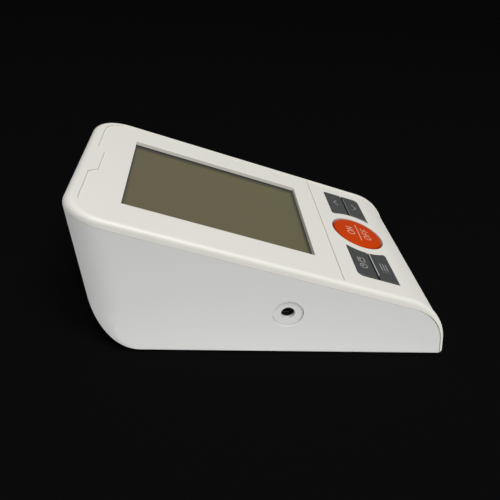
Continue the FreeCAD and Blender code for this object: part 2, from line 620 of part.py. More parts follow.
def tab_shape(number, grow):
    """A solder tab through the left wall of the bay, or its slot."""
    return box((-BAY_HALF - TAB_RUN - grow, -BAY_HALF + FIT + PLATE_THICK),
               (cell_y(number) - TAB_HALF - grow, cell_y(number) + TAB_HALF + grow),
               (CELL_Z - PLATE_THICK / 2 - grow, CELL_Z + PLATE_THICK / 2 + grow))


# ---- lower case ---------------------------------------------------------------------------
MANIFOLD_START = SOCKET_Y + SOCKET_BODY_RADIUS + 2 * NOZZLE_LENGTH + TUBE_BARE
VALVE_START = MANIFOLD_START + MANIFOLD_LENGTH + 2 * NOZZLE_LENGTH + TUBE_BARE
MOTOR_X = PUMP_HEAD_X + PUMP_HEAD_LENGTH
FEET = [(x, y) for x in (-FOOT_X, FOOT_X) for y in (FOOT_FRONT_Y, FOOT_REAR_Y)]


def pump_cradle(x):
    """A snap cradle: an upright plate cut to the sleeve a little past its widest place."""
    half = SLEEVE_RADIUS + CRADLE_WALL
    rib = box((x, x + CRADLE_THICK), (PUMP_Y - half, PUMP_Y + half), (0, PUMP_Z + CRADLE_RISE))
    return rib.cut(rod(SLEEVE_RADIUS + CRADLE_FIT, V(x - OVER, PUMP_Y, PUMP_Z), X,
                       CRADLE_THICK + 2 * OVER))


def lower_case():
    block = case_block(0)
    shell = block.common(below_seam(-SEAM_FIT, -SEAM_FIT)).cut([hollow(0), seam_ring()])
    posts = [rod(POST_RADIUS, V(x, y, 0), Z, meet_z) for x, y, meet_z in POSTS]
    bay = box((-BAY_HALF - BAY_WALL, BAY_HALF + BAY_WALL), (BAY_FRONT, BAY_REAR),
              (0, BAY_TOP + BAY_WALL))
    valve_foot = box((LINE_X - PEDESTAL_WIDTH / 2, LINE_X + PEDESTAL_WIDTH / 2),
                     (VALVE_START + FIT, VALVE_START + PEDESTAL_LENGTH),
                     (0, SOCKET_Z - VALVE_SIZE / 2))
    jack_foot = box((HALF - WALL - JACK_BODY_LENGTH + OVER, HALF - WALL),
                    (JACK_Y - JACK_BODY / 2, JACK_Y + JACK_BODY / 2), (0, JACK_Z - JACK_BODY / 2))
    cradles = [pump_cradle(MOTOR_X + SLEEVE_START + x)
               for x in (CRADLE_THICK, SLEEVE_LENGTH - 2 * CRADLE_THICK)]
    inside = posts[0].fuse(posts[1:] + [bay, valve_foot, jack_foot] + cradles).common(block)
    shell = fuse(shell, inside)
    tools = [box((-BAY_HALF, BAY_HALF), (BAY_FRONT + BAY_WALL, BAY_REAR - BAY_WALL),
                 (-OVER, BAY_TOP)),
             box((-DOOR_HALF, DOOR_HALF), (DOOR_FRONT, DOOR_REAR), (-OVER, STOP_Z))]
    tools += hooks(HOOK_GAP - SEAM_FIT) + [tab_shape(n, FIT) for n in (0, CELL_COUNT - 1)]
    for x, y, meet_z in POSTS:
        tools.append(rod(SCREW_HEAD_RADIUS + SCREW_CLEARANCE, V(x, y, -OVER), Z,
                         meet_z - SCREW_SEAT + OVER))
        tools.append(rod(SCREW_RADIUS + SCREW_CLEARANCE, V(x, y, 0), Z, meet_z + OVER))
    tools += [rod(FOOT_RADIUS + FIT, V(x, y, -OVER), Z, FOOT_SEAT + OVER) for x, y in FEET]
    tools += [rod(SOCKET_FACE_RADIUS + FIT, V(-HALF - OVER, SOCKET_Y, SOCKET_Z), X, WALL + 2 * OVER),
              rod(JACK_BARREL + FIT, V(HALF + OVER, JACK_Y, JACK_Z), -X, WALL + 2 * OVER),
              rod(THUMB_RADIUS, V(0, DOOR_REAR, -THUMB_RADIUS + THUMB_DEPTH), Y, THUMB_LENGTH),
              box((-LABEL_WIDTH / 2, LABEL_WIDTH / 2),
                  (LABEL_Y - LABEL_LENGTH / 2, LABEL_Y + LABEL_LENGTH / 2), (-OVER, LABEL_THICK))]
    return shell.cut(tools)


# ---- upper cover --------------------------------------------------------------------------
def cover_lip():
    """A rib inside the lower case's walls that keeps the shells in line."""
    outer, inner = hollow(FIT), hollow(FIT + LIP_WALL, 0)
    low = deck_block((-HUGE, HUGE), (LIP_START, HUGE), (-SKIRT - LIP_REACH, -SKIRT + OVER))
    root = deck_block((-HUGE, HUGE), (LIP_START, HUGE), (-SKIRT, -SKIRT + OVER))
    return outer.cut(inner).common(low).fuse(hollow(0).cut(inner).common(root))


def board_post(x, y):
    return rod(BOARD_POST_RADIUS, V(x, y, BOARD_TOP), Z, COVER_UNDER - BOARD_TOP)


BOARD_POSTS = [(x, y) for x in (-BOARD_POST_X, BOARD_POST_X)
               for y in (BOARD_POST_FRONT, BOARD_POST_REAR)]


def holder_plate(grow, z):
    return window_plate(HOLDER_BORDER + grow, z)


def upper_cover():
    shell = dished_block().cut([below_seam(0, 0), hollow(0), seam_ring()])
    ledge = plate([(-DECK_HALF, PANEL_FRONT_END - WALL), (DECK_HALF, PANEL_FRONT_END - WALL),
                   (DECK_HALF, PANEL_TOP_END), (-DECK_HALF, PANEL_TOP_END)],
                  [0, 0, PANEL_CORNER, PANEL_CORNER], (LEDGE_UNDER, COVER_UNDER))
    pillars = [rod(PILLAR_RADIUS, V(x, y, meet_z), Z, HUGE) for x, y, meet_z in POSTS]
    inside = on_deck(ledge.fuse([board_post(x, y) for x, y in BOARD_POSTS])).fuse(pillars)
    shell = fuse(shell, inside.common(hollow(0)), cover_lip())
    tools = [on_deck(deck_area(0).common(box((-HUGE, HUGE), (PANEL_FRONT_END, HUGE),
                                             (PANEL_UNDER, HUGE)))),
             on_deck(holder_plate(OPENING_GAP, (-HUGE, HUGE))),
             on_deck(rod(BUTTON_RADIUS + BUTTON_GAP, V(0, KEYS_MIDDLE, COVER_UNDER - OVER), Z,
                         HUGE))]
    tools += [by_button(key_pair(KEY_GAP, (COVER_UNDER - OVER, OVER)), side) for side in (-1, 1)]
    tools += [rod(SCREW_RADIUS + THREAD_FIT, V(x, y, meet_z - OVER), Z,
                  SCREW_LENGTH - SCREW_SEAT + SCREW_SPARE + OVER) for x, y, meet_z in POSTS]
    tools += [on_deck(rod(BOARD_SCREW_RADIUS + THREAD_FIT, V(x, y, BOARD_TOP - OVER), Z,
                          BOARD_SCREW_LENGTH + OVER)) for x, y in BOARD_POSTS]
    return shell.cut(tools)


# ---- display ------------------------------------------------------------------------------
def display_panel():
    """The inset plate with the window, seated in the deck behind the groove."""
    area = deck_area(-PANEL_FIT).common(box((-HUGE, HUGE), (PANEL_FRONT_END + PANEL_GROOVE, HUGE),
                                            (PANEL_UNDER, DECK_TOP)))
    panel = area.cut(window_plate(0, (PANEL_UNDER - OVER, DECK_TOP + OVER)))
    return on_deck(round_edges(panel, PANEL_EDGE, lambda edge: same(edge.BoundBox.ZMin, DECK_TOP)))


def display_lens():
    return on_deck(window_plate(LENS_BORDER, (LENS_UNDER, PANEL_UNDER)))


def lens_gasket():
    z = (GASKET_UNDER, LENS_UNDER)
    return on_deck(window_plate(LENS_BORDER, z).cut(window_plate(GASKET_CLEAR, z)))


def lcd_glass():
    return on_deck(window_plate(GLASS_BORDER, (GLASS_UNDER, GASKET_UNDER)))


def lcd_holder():
    frame = holder_plate(0, (BOARD_TOP, GASKET_UNDER))
    room = window_plate(GLASS_BORDER + FIT, (BOARD_TOP - OVER, GASKET_UNDER + OVER))
    side = WINDOW_WIDTH / 2 + GLASS_BORDER + FIT
    half = WINDOW_LENGTH / 2 - STRIP_WIDTH
    ledges = [box(sorted((s * side, s * (side - HOLDER_LEDGE))),
                  (WINDOW_MIDDLE - half, WINDOW_MIDDLE + half),
                  (GLASS_UNDER - HOLDER_LEDGE_THICK, GLASS_UNDER)) for s in (-1, 1)]
    return on_deck(fuse(frame.cut(room), *ledges))


def lcd_contact_strips():
    strips = []
    for end in (-1, 1):
        near = WINDOW_MIDDLE + end * (WINDOW_LENGTH / 2 + GLASS_BORDER - STRIP_INSET)
        strips.append(box((-WINDOW_WIDTH / 2, WINDOW_WIDTH / 2),
                          sorted((near, near - end * STRIP_WIDTH)), (BOARD_TOP, GLASS_UNDER)))
    return on_deck(Part.makeCompound(strips))


# ---- buttons and their switches -----------------------------------------------------------
def stem(x, y):
    return rod(STEM_RADIUS, V(x, y, PLUNGER_TOP), Z, FLANGE_UNDER - PLUNGER_TOP + OVER / 2)


def power_button():
    top = DECK_TOP + BUTTON_PROUD
    cap = rod(BUTTON_RADIUS, Z * FLANGE_UNDER, Z, top - FLANGE_UNDER)
    dome = (BUTTON_RADIUS ** 2 + BUTTON_DOME ** 2) / (2 * BUTTON_DOME)
    cap = cap.common(Part.makeSphere(dome, Z * (top - dome)))
    cap = round_edges(cap, BUTTON_EDGE, lambda edge: edge.BoundBox.ZMin > DECK_TOP
                      and same(edge.BoundBox.ZMin, edge.BoundBox.ZMax))
    flange = rod(BUTTON_RADIUS + BUTTON_GAP + FLANGE_HOLD, Z * FLANGE_UNDER, Z, FLANGE_THICK)
    return by_button(fuse(cap, flange, stem(0, 0)), 1)


def key(side, rear):
    """One key; the rear key of the right pair has the sharp outer corner."""
    def half(shape):
        y = (KEY_SPLIT / 2, HUGE) if rear * side > 0 else (-HUGE, -KEY_SPLIT / 2)
        return shape.common(box((0, HUGE), y, (-HUGE, HUGE)))

    top = DECK_TOP + KEY_PROUD
    cap = half(key_pair(0, (FLANGE_UNDER, top)))
    cap = round_edges(cap, KEY_EDGE, lambda edge: same(edge.BoundBox.ZMin, top))
    flange = half(key_pair(KEY_GAP + FLANGE_HOLD, (FLANGE_UNDER, FLANGE_TOP)))
    return by_button(fuse(cap, flange, stem(KEY_STEM_X, rear * side * KEY_STEM_Y)), side)


def switch_place(side, rear):
    """Where a switch stands, from the centre of the round button; 0, 0 is the power switch."""
    return V(side * KEY_STEM_X, KEYS_MIDDLE + rear * KEY_STEM_Y, 0)


def switch(side, rear):
    at, half = switch_place(side, rear), SWITCH_SIZE / 2
    body = box((at.x - half, at.x + half), (at.y - half, at.y + half), (BOARD_TOP, SWITCH_TOP))
    depth = PLUNGER_BURIED + KEY_TRAVEL + PLUNGER_SPARE
    return on_deck(body.cut(rod(PLUNGER_RADIUS + RUNNING_FIT, at + Z * (SWITCH_TOP - depth), Z,
                                depth + OVER)))


def plunger(side, rear):
    at = switch_place(side, rear)
    return on_deck(rod(PLUNGER_RADIUS, at + Z * (SWITCH_TOP - PLUNGER_BURIED), Z,
                       PLUNGER_BURIED + PLUNGER_SHOWS))


# ---- main board ---------------------------------------------------------------------------
def under_board(x, y, drop=0):
    return V(x, y, BOARD_UNDER - drop)


def main_board():
    board = plate([(-BOARD_HALF_WIDTH, BOARD_FRONT), (BOARD_HALF_WIDTH, BOARD_FRONT),
                   (BOARD_HALF_WIDTH, BOARD_REAR), (-BOARD_HALF_WIDTH, BOARD_REAR)],
                  [BOARD_CORNER] * 4, (BOARD_UNDER, BOARD_TOP))
    holes = [rod(BOARD_SCREW_RADIUS + SCREW_CLEARANCE, V(x, y, BOARD_UNDER - OVER), Z,
                 BOARD_THICK + 2 * OVER) for x, y in BOARD_POSTS]
    notches = [rod(PILLAR_RADIUS + PILLAR_GAP, V(x, y, 0), Z, HUGE) for x, y, _ in POSTS]
    notches += [box(sorted((x, math.copysign(HALF, x))),
                    (y - PILLAR_RADIUS - PILLAR_GAP, y + PILLAR_RADIUS + PILLAR_GAP), (0, HUGE))
                for x, y, _ in POSTS]
    return on_deck(board.cut(holes)).cut(notches)


def board_screws():
    screws = []
    for x, y in BOARD_POSTS:
        one = screw(BOARD_SCREW_RADIUS, BOARD_SCREW_LENGTH, BOARD_SCREW_HEAD_RADIUS,
                    BOARD_SCREW_HEAD)
        one.translate(under_board(x, y))
        screws.append(one)
    return on_deck(Part.makeCompound(screws))


def microcontroller():
    half = CHIP_SIZE / 2
    return deck_block((CHIP_X - half, CHIP_X + half), (CHIP_Y - half, CHIP_Y + half),
                      (BOARD_UNDER - CHIP_THICK, BOARD_UNDER))


def buzzer():
    body = rod(BUZZER_RADIUS, under_board(BUZZER_X, BUZZER_Y, BUZZER_HEIGHT), Z, BUZZER_HEIGHT)
    hole = rod(BUZZER_HOLE, under_board(BUZZER_X, BUZZER_Y, BUZZER_HEIGHT), Z, OVER)
    return on_deck(body.cut(hole))


def capacitors():
    cans = [rod(CAPACITOR_RADIUS, under_board(CAPACITOR_X + i * CAPACITOR_STEP, CAPACITOR_Y,
                                              CAPACITOR_HEIGHT), Z, CAPACITOR_HEIGHT)
            for i in range(CAPACITOR_COUNT)]
    return on_deck(Part.makeCompound(cans))


# ---- air system ---------------------------------------------------------------------------
def nozzle(start, along, length=NOZZLE_LENGTH):
    return rod(NOZZLE_RADIUS, start, along, length)


def passage(start, along, length):
    return rod(NOZZLE_BORE, start, along, length)


SOCKET_X = -HALF + SOCKET_SUNK
PORT_Z = SOCKET_Z + MANIFOLD_RADIUS
PUMP_LINE_Z = SOCKET_Z + PUMP_PORT_RISE
PUMP_PORT_X = LINE_X + MANIFOLD_RADIUS
SENSOR_PORT_Y = MANIFOLD_START + SENSOR_PORT
PUMP_PORT_Y = MANIFOLD_START + PUMP_PORT
SENSOR_REACH = BOARD_UNDER - SENSOR_HEIGHT          # face of the sensor, on the deck
HEAD_MIDDLE = PUMP_HEAD_X + PUMP_HEAD_LENGTH / 2
COLLAR_ROOM = VALVE_LENGTH - VALVE_SHEET - COLLAR_THICK - VALVE_STROKE - 2 * COLLAR_GAP


def sensor_y():
    """Up the slope, so that the sensor's nozzle ends over the manifold's port."""
    tip = SENSOR_REACH - SHORT_NOZZLE - TUBE_BARE
    return (SENSOR_PORT_Y + tip * math.sin(SLOPE)) / math.cos(SLOPE)


def air_socket():
    """The cuff's plug goes into the bore; an elbow turns the air to the rear."""
    face = V(SOCKET_X, SOCKET_Y, SOCKET_Z)
    length = LINE_X + NOZZLE_RADIUS + OVER - SOCKET_X
    wall_face = -HALF + WALL
    body = fuse(rod(SOCKET_FACE_RADIUS, face, X, wall_face - SOCKET_X),
                rod(SOCKET_FLANGE, V(wall_face, SOCKET_Y, SOCKET_Z), X, SOCKET_FLANGE_THICK),
                rod(SOCKET_BODY_RADIUS, face, X, length),
                nozzle(V(LINE_X, SOCKET_Y, SOCKET_Z), Y, SOCKET_BODY_RADIUS + NOZZLE_LENGTH))
    groove = ring(SOCKET_BORE + 2 * O_RING_WIRE, SOCKET_BORE - OVER,
                  face + X * (SOCKET_BORE_LENGTH / 2 - O_RING_WIRE), X, 2 * O_RING_WIRE)
    return body.cut([rod(SOCKET_BORE, face - X * OVER, X, SOCKET_BORE_LENGTH + OVER), groove,
                     passage(V(LINE_X, SOCKET_Y, SOCKET_Z), Y, HUGE),
                     passage(V(SOCKET_X, SOCKET_Y, SOCKET_Z), X, LINE_X - SOCKET_X)])


def socket_o_ring():
    middle = V(SOCKET_X + SOCKET_BORE_LENGTH / 2, SOCKET_Y, SOCKET_Z)
    return Part.makeTorus(SOCKET_BORE + O_RING_WIRE, O_RING_WIRE - TUBE_FIT, middle, X)


def air_manifold():
    """Joins the socket, the pump, the exhaust valve and the pressure sensor."""
    start = V(LINE_X, MANIFOLD_START, SOCKET_Z)
    riser = V(LINE_X, PUMP_PORT_Y, SOCKET_Z)
    turn = V(LINE_X, PUMP_PORT_Y, PUMP_LINE_Z)
    sensor = V(LINE_X, SENSOR_PORT_Y, SOCKET_Z)
    body = fuse(rod(MANIFOLD_RADIUS, start, Y, MANIFOLD_LENGTH),
                nozzle(start - Y * NOZZLE_LENGTH, Y, MANIFOLD_LENGTH + 2 * NOZZLE_LENGTH),
                rod(MANIFOLD_RADIUS, riser, Z, PUMP_PORT_RISE + MANIFOLD_RADIUS),
                nozzle(turn, X, MANIFOLD_RADIUS + NOZZLE_LENGTH),
                nozzle(sensor, Z, MANIFOLD_RADIUS + SHORT_NOZZLE))
    return body.cut([passage(start - Y * HUGE, Y, 2 * HUGE), passage(riser, Z, PUMP_PORT_RISE),
                     passage(turn, X, HUGE), passage(sensor, Z, HUGE)])


def air_tube(*points):
    return tube(points, TUBE_RADIUS, NOZZLE_RADIUS + TUBE_FIT)


def tube_to_socket():
    end = V(LINE_X, MANIFOLD_START, SOCKET_Z)
    return air_tube(V(LINE_X, SOCKET_Y + SOCKET_BODY_RADIUS + TUBE_FIT, SOCKET_Z), end)


def tube_to_valve():
    return air_tube(V(LINE_X, MANIFOLD_START + MANIFOLD_LENGTH, SOCKET_Z),
                    V(LINE_X, VALVE_START, SOCKET_Z))


def tube_to_sensor():
    face = deck_point(LINE_X, sensor_y(), SENSOR_REACH)
    turn = deck_point(LINE_X, sensor_y(), SENSOR_REACH - SHORT_NOZZLE - TUBE_BARE)
    return air_tube(V(LINE_X, SENSOR_PORT_Y, PORT_Z + TUBE_FIT), turn, face)


def tube_to_pump():
    reach = math.sqrt(PUMP_HEAD_RADIUS ** 2 - TUBE_RADIUS ** 2)
    return air_tube(V(PUMP_PORT_X + FIT, PUMP_PORT_Y, PUMP_LINE_Z),
                    V(HEAD_MIDDLE, PUMP_PORT_Y, PUMP_LINE_Z),
                    V(HEAD_MIDDLE, PUMP_Y - reach - NOZZLE_RADIUS / 2, PUMP_LINE_Z))


def pressure_sensor():
    half, y = SENSOR_SIZE / 2, sensor_y()
    body = box((LINE_X - half, LINE_X + half), (y - half, y + half), (SENSOR_REACH, BOARD_UNDER))
    tip = V(LINE_X, y, SENSOR_REACH - SHORT_NOZZLE)
    return on_deck(body.fuse(nozzle(tip, Z, SHORT_NOZZLE)).cut(passage(tip, Z, 2 * SHORT_NOZZLE)))


def valve_frame():
    """A steel loop around the coil."""
    half, end = VALVE_SIZE / 2, VALVE_START + VALVE_LENGTH
    x = (LINE_X - half, LINE_X + half)
    loop = box(x, (VALVE_START, end), (SOCKET_Z - half, SOCKET_Z + half))
    inner = half - VALVE_SHEET
    room = box((x[0] - OVER, x[1] + OVER), (VALVE_START + VALVE_SHEET, end - VALVE_SHEET),
               (SOCKET_Z - inner, SOCKET_Z + inner))
    front = rod(VALVE_BOSS_RADIUS + FIT, V(LINE_X, VALVE_START - OVER, SOCKET_Z), Y, 2 * OVER)
    rear = rod(PLUNGER_ROD + FIT, V(LINE_X, end + OVER, SOCKET_Z), -Y, 2 * OVER)
    return loop.cut([room, front, rear])


def valve_coil():
    """The coil on its bobbin, with the valve's seat and nozzle in front."""
    start = V(LINE_X, VALVE_START, SOCKET_Z)
    body = fuse(rod(COIL_RADIUS, start + Y * VALVE_SHEET, Y, COLLAR_ROOM - VALVE_SHEET),
                rod(VALVE_BOSS_RADIUS, start, Y, VALVE_SHEET),
                nozzle(start - Y * NOZZLE_LENGTH, Y))
    bore = rod(PLUNGER_ROD + RUNNING_FIT, start + Y * VALVE_SEAT, Y, VALVE_LENGTH)
    return body.cut([bore, passage(start - Y * HUGE, Y, HUGE + VALVE_SEAT)])


def valve_plunger():
    """The plunger at rest, open; the coil pulls it forward onto its seat."""
    front = V(LINE_X, VALVE_START + VALVE_SEAT + FIT + VALVE_STROKE, SOCKET_Z)
    length = VALVE_START + VALVE_LENGTH + PLUNGER_TAIL - front.y
    collar = V(LINE_X, VALVE_START + COLLAR_ROOM + VALVE_STROKE + COLLAR_GAP, SOCKET_Z)
    return fuse(rod(PLUNGER_ROD, front, Y, length), rod(COLLAR_RADIUS, collar, Y, COLLAR_THICK))


def pump_motor():
    """The motor's can, closed at both ends around the shaft's bearings."""
    start = V(MOTOR_X, PUMP_Y, PUMP_Z)
    can = rod(PUMP_MOTOR_RADIUS, start, X, PUMP_MOTOR_LENGTH)
    room = rod(PUMP_MOTOR_RADIUS - PUMP_MOTOR_WALL, start + X * 2 * PUMP_MOTOR_WALL, X,
               PUMP_MOTOR_LENGTH - 4 * PUMP_MOTOR_WALL)
    bearing = rod(SHAFT_RADIUS + RUNNING_FIT, start - X * OVER, X,
                  PUMP_MOTOR_LENGTH - PUMP_MOTOR_WALL + OVER)
    return can.cut([room, bearing])


def pump_rotor():
    """Armature, shaft and the eccentric that works the pump's diaphragms."""
    start = V(MOTOR_X, PUMP_Y, PUMP_Z)
    armature = start + X * (PUMP_MOTOR_LENGTH - ROTOR_LENGTH) / 2
    tip = start - X * (ECCENTRIC_LENGTH + OVER)
    shaft_length = PUMP_MOTOR_LENGTH - PUMP_MOTOR_WALL - SHAFT_SPARE + ECCENTRIC_LENGTH + OVER
    return fuse(rod(ROTOR_RADIUS, armature, X, ROTOR_LENGTH), rod(SHAFT_RADIUS, tip, X, shaft_length),
                rod(ECCENTRIC_RADIUS, tip + Z * ECCENTRIC_OFFSET, X, ECCENTRIC_LENGTH))


def pump_head():
    start = V(PUMP_HEAD_X, PUMP_Y, PUMP_Z)
    room = rod(HEAD_ROOM_RADIUS, V(MOTOR_X - HEAD_ROOM_LENGTH, PUMP_Y, PUMP_Z), X,
               HEAD_ROOM_LENGTH + OVER)
    port = V(HEAD_MIDDLE, PUMP_Y, PUMP_LINE_Z)
    body = fuse(rod(PUMP_HEAD_RADIUS, start, X, PUMP_HEAD_LENGTH),
                nozzle(port, -Y, PUMP_HEAD_RADIUS + NOZZLE_LENGTH))
    return body.cut([room, passage(port, -Y, HUGE)])


def pump_sleeve():
    return ring(SLEEVE_RADIUS, PUMP_MOTOR_RADIUS,
                V(MOTOR_X + SLEEVE_START, PUMP_Y, PUMP_Z), X, SLEEVE_LENGTH)


# ---- power --------------------------------------------------------------------------------
def dc_jack():
    face = V(HALF - JACK_SUNK, JACK_Y, JACK_Z)
    half, wall_face = JACK_BODY / 2, HALF - WALL
    body = fuse(box((wall_face - JACK_BODY_LENGTH, wall_face), (JACK_Y - half, JACK_Y + half),
                    (JACK_Z - half, JACK_Z + half)), rod(JACK_BARREL, face, -X, WALL))
    body = body.cut(rod(JACK_BORE, face + X * OVER, -X, JACK_BORE_LENGTH + OVER))
    return fuse(body, rod(JACK_PIN, face - X * OVER, -X, JACK_BORE_LENGTH))


def lead_up(start, run, away):
    """A wire from its terminal up to the board, swaying away from the part it belongs to."""
    board, y = deck_point(0, 0, BOARD_UNDER), start.y + run
    top = board.z + (y - board.y - LEAD_RADIUS) * math.tan(SLOPE)
    end = V(start.x, y, top - LEAD_GAP)
    rise = end - start
    points = [start, start + V(0, 0, rise.z / 4),
              start + V(away * LEAD_SWAY, rise.y / 2, rise.z / 2), end - V(0, 0, rise.z / 4), end]
    return swept(points, LEAD_RADIUS)


def battery_leads():
    return Part.makeCompound([
        lead_up(V(-BAY_HALF - TAB_RUN + LEAD_RADIUS, cell_y(n), CELL_Z + PLATE_THICK / 2),
                BATTERY_LEAD_RUN, -1) for n in (0, CELL_COUNT - 1)])


def pump_leads():
    x = MOTOR_X + PUMP_MOTOR_LENGTH + LEAD_RADIUS + TUBE_FIT
    return Part.makeCompound([lead_up(V(x, PUMP_Y + y, PUMP_Z), PUMP_LEAD_RUN, 1)
                              for y in (-PUMP_TERMINAL, PUMP_TERMINAL)])


def jack_leads():
    x = HALF - WALL - JACK_BODY_LENGTH - LEAD_RADIUS - TUBE_FIT
    return Part.makeCompound([lead_up(V(x, JACK_Y + y, JACK_Z), JACK_LEAD_RUN, -1)
                              for y in (-JACK_TERMINAL, JACK_TERMINAL)])


# ---- floor --------------------------------------------------------------------------------
def rubber_feet():
    feet = [round_edges(rod(FOOT_RADIUS, V(x, y, -FOOT_PROUD), Z, FOOT_PROUD + FOOT_SEAT),
                        FOOT_EDGE, lambda edge: same(edge.BoundBox.ZMax, -FOOT_PROUD))
            for x, y in FEET]
    return Part.makeCompound(feet)


def rating_label():
    return box((-LABEL_WIDTH / 2 + FIT, LABEL_WIDTH / 2 - FIT),
               (LABEL_Y - LABEL_LENGTH / 2 + FIT, LABEL_Y + LABEL_LENGTH / 2 - FIT),
               (0, LABEL_THICK))


# ---- the assembly -------------------------------------------------------------------------
KEYS = {"left_rear": (-1, 1), "left_front": (-1, -1), "right_rear": (1, 1), "right_front": (1, -1)}

pieces = {piece.__name__: piece() for piece in (
    lower_case, upper_cover, case_screws, rubber_feet, rating_label,
    display_panel, display_lens, lens_gasket, lcd_glass, lcd_holder, lcd_contact_strips,
    main_board, board_screws, microcontroller, pressure_sensor, buzzer, capacitors,
    power_button, air_socket, socket_o_ring, air_manifold,
    tube_to_socket, tube_to_valve, tube_to_sensor, tube_to_pump,
    valve_frame, valve_coil, valve_plunger, pump_motor, pump_rotor, pump_head, pump_sleeve,
    battery_door, contact_springs, contact_plates, dc_jack,
    battery_leads, pump_leads, jack_leads)}
for name, (side, rear) in KEYS.items():
    pieces["key_" + name] = key(side, rear)
for name, (side, rear) in {**KEYS, "power": (0, 0)}.items():
    pieces["switch_" + name] = switch(side, rear)
    pieces["plunger_" + name] = plunger(side, rear)
for number in range(CELL_COUNT):
    pieces["battery_cell_%d" % (number + 1)] = battery_cell(number)

case_box = Part.makeCompound([pieces["lower_case"], pieces["upper_cover"]]).optimalBoundingBox()
to_origin = V(0, -case_box.Center.y, FOOT_PROUD)
os.makedirs("parts", exist_ok=True)
for name, shape in pieces.items():
    shape.translate(to_origin)
    shape.exportStep(os.path.join("parts", name + ".step"))
    print(name, len(shape.Solids), round(shape.Volume, 1), shape.isValid())
print("origin shift", to_origin)
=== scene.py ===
# %% [markdown]
# # A desktop blood pressure monitor
# The monitor is a small wedge of white ABS: a sloping deck with a display and five buttons, a seam
# all around just under it, and a socket for the cuff's air hose in the left wall. This lesson
# gives each of them its material, adds the thin prints and fine parts that the solids leave out,
# and lights it.

# %% Load the solids
import json
import math

import bpy
from mathutils import Matrix, Vector
from mathutils.bvhtree import BVHTree


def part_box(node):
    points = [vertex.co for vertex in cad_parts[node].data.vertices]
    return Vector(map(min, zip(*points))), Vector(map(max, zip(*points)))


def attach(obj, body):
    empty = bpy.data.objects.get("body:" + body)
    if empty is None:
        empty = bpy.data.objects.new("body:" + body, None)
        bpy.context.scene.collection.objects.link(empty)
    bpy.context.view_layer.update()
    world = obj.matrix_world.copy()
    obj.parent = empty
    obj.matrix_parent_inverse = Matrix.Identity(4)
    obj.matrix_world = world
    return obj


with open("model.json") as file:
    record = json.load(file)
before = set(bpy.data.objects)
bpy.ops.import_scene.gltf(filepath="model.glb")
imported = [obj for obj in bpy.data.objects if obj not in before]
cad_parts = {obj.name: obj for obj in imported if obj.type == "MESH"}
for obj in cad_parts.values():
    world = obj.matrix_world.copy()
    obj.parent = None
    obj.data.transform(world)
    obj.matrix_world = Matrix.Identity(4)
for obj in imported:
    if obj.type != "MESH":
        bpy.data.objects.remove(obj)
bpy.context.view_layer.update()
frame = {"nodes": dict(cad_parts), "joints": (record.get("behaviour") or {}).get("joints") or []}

MM = 0.001
nodes = frame["nodes"]

# %% [markdown]
# ## Directions on the deck
# Most of what shows lies on a plane that slopes towards the user. The buttons move straight down
# into it, so the direction of one button's joint gives the plane's normal. Places on the deck are
# then three measures in millimetres: across, up the slope, and out of the deck.

# %% Deck directions
press = next(joint for joint in frame["joints"] if joint["name"] == "power_button_press")
OUT = -Vector(press["axis"]).normalized()
ACROSS = Vector((1, 0, 0))
UP_SLOPE = OUT.cross(ACROSS)
SLOPE = math.acos(OUT.z)


def deck(across, up, out):
    """A point in metres from its three deck measures."""
    return (ACROSS * across + UP_SLOPE * up + OUT * out) * MM


def deck_extent(node):
    """Lowest and highest deck measures of a CAD node."""
    corners = [(v.co.x / MM, v.co.dot(UP_SLOPE) / MM, v.co.dot(OUT) / MM)
               for v in nodes[node].data.vertices]
    return Vector(map(min, zip(*corners))), Vector(map(max, zip(*corners)))


def deck_middle(node):
    """Middle of a CAD node in deck measures."""
    low, high = deck_extent(node)
    return (low + high) / 2


print("the deck slopes by", round(math.degrees(SLOPE), 1), "degrees")

# %% [markdown]
# ## Camera
# The camera stands at the monitor's left and a little above it, close enough for a strong
# perspective. A point to stand on, a point to look at and a small roll place it.

# %% Camera
LOOK_FROM = Vector((-226.13, 32.82, 162.53)) * MM
LOOK_AT = Vector((0.0, 3.22, 21.33)) * MM
CAMERA_ROLL = math.radians(5.75)
LENS, SENSOR = 39.78, 36.0                 # millimetres
NEAREST, FARTHEST = 0.01, 20.0             # metres that the camera sees

ahead = (LOOK_AT - LOOK_FROM).normalized()
level = ahead.cross(Vector((0, 0, 1))).normalized()
to_right = level * math.cos(CAMERA_ROLL) + level.cross(ahead) * math.sin(CAMERA_ROLL)
camera = bpy.data.objects.new("camera", bpy.data.cameras.new("camera"))
camera.data.lens, camera.data.sensor_width = LENS, SENSOR
camera.data.clip_start, camera.data.clip_end = NEAREST, FARTHEST
turn = Matrix((to_right, to_right.cross(ahead), -ahead)).transposed()
camera.matrix_world = Matrix.Translation(LOOK_FROM) @ turn.to_4x4()
bpy.context.scene.collection.objects.link(camera)
bpy.context.scene.camera = camera
print("camera stands", round((LOOK_AT - LOOK_FROM).length, 3), "m away")

# %% [markdown]
# ## Small tools for materials
# A material here is a short chain of nodes. One function adds a node and fills its inputs, so each
# material below reads as a list of what its surface has.

# %% Tools for materials


def linear(colour):
    """An sRGB hex colour as linear RGBA."""
    parts = [int(colour[i:i + 2], 16) / 255 for i in (0, 2, 4)]
    return tuple(c / 12.92 if c <= 0.04045 else ((c + 0.055) / 1.055) ** 2.4
                 for c in parts) + (1.0,)


def add(tree, kind, inputs=(), **settings):
    """Adds one node with its settings, and links or sets its inputs."""
    made = tree.nodes.new(kind)
    for name, value in settings.items():
        setattr(made, name, value)
    for name, value in dict(inputs).items():
        if isinstance(value, bpy.types.NodeSocket):
            tree.links.new(value, made.inputs[name])
        else:
            made.inputs[name].default_value = value
    return made


def start_material(name):
    """A new material: itself, its tree, and the place on the object in metres."""
    material = bpy.data.materials.new(name)
    material.use_nodes = True
    tree = material.node_tree
    tree.nodes.clear()
    return material, tree, add(tree, "ShaderNodeTexCoord").outputs["Object"]


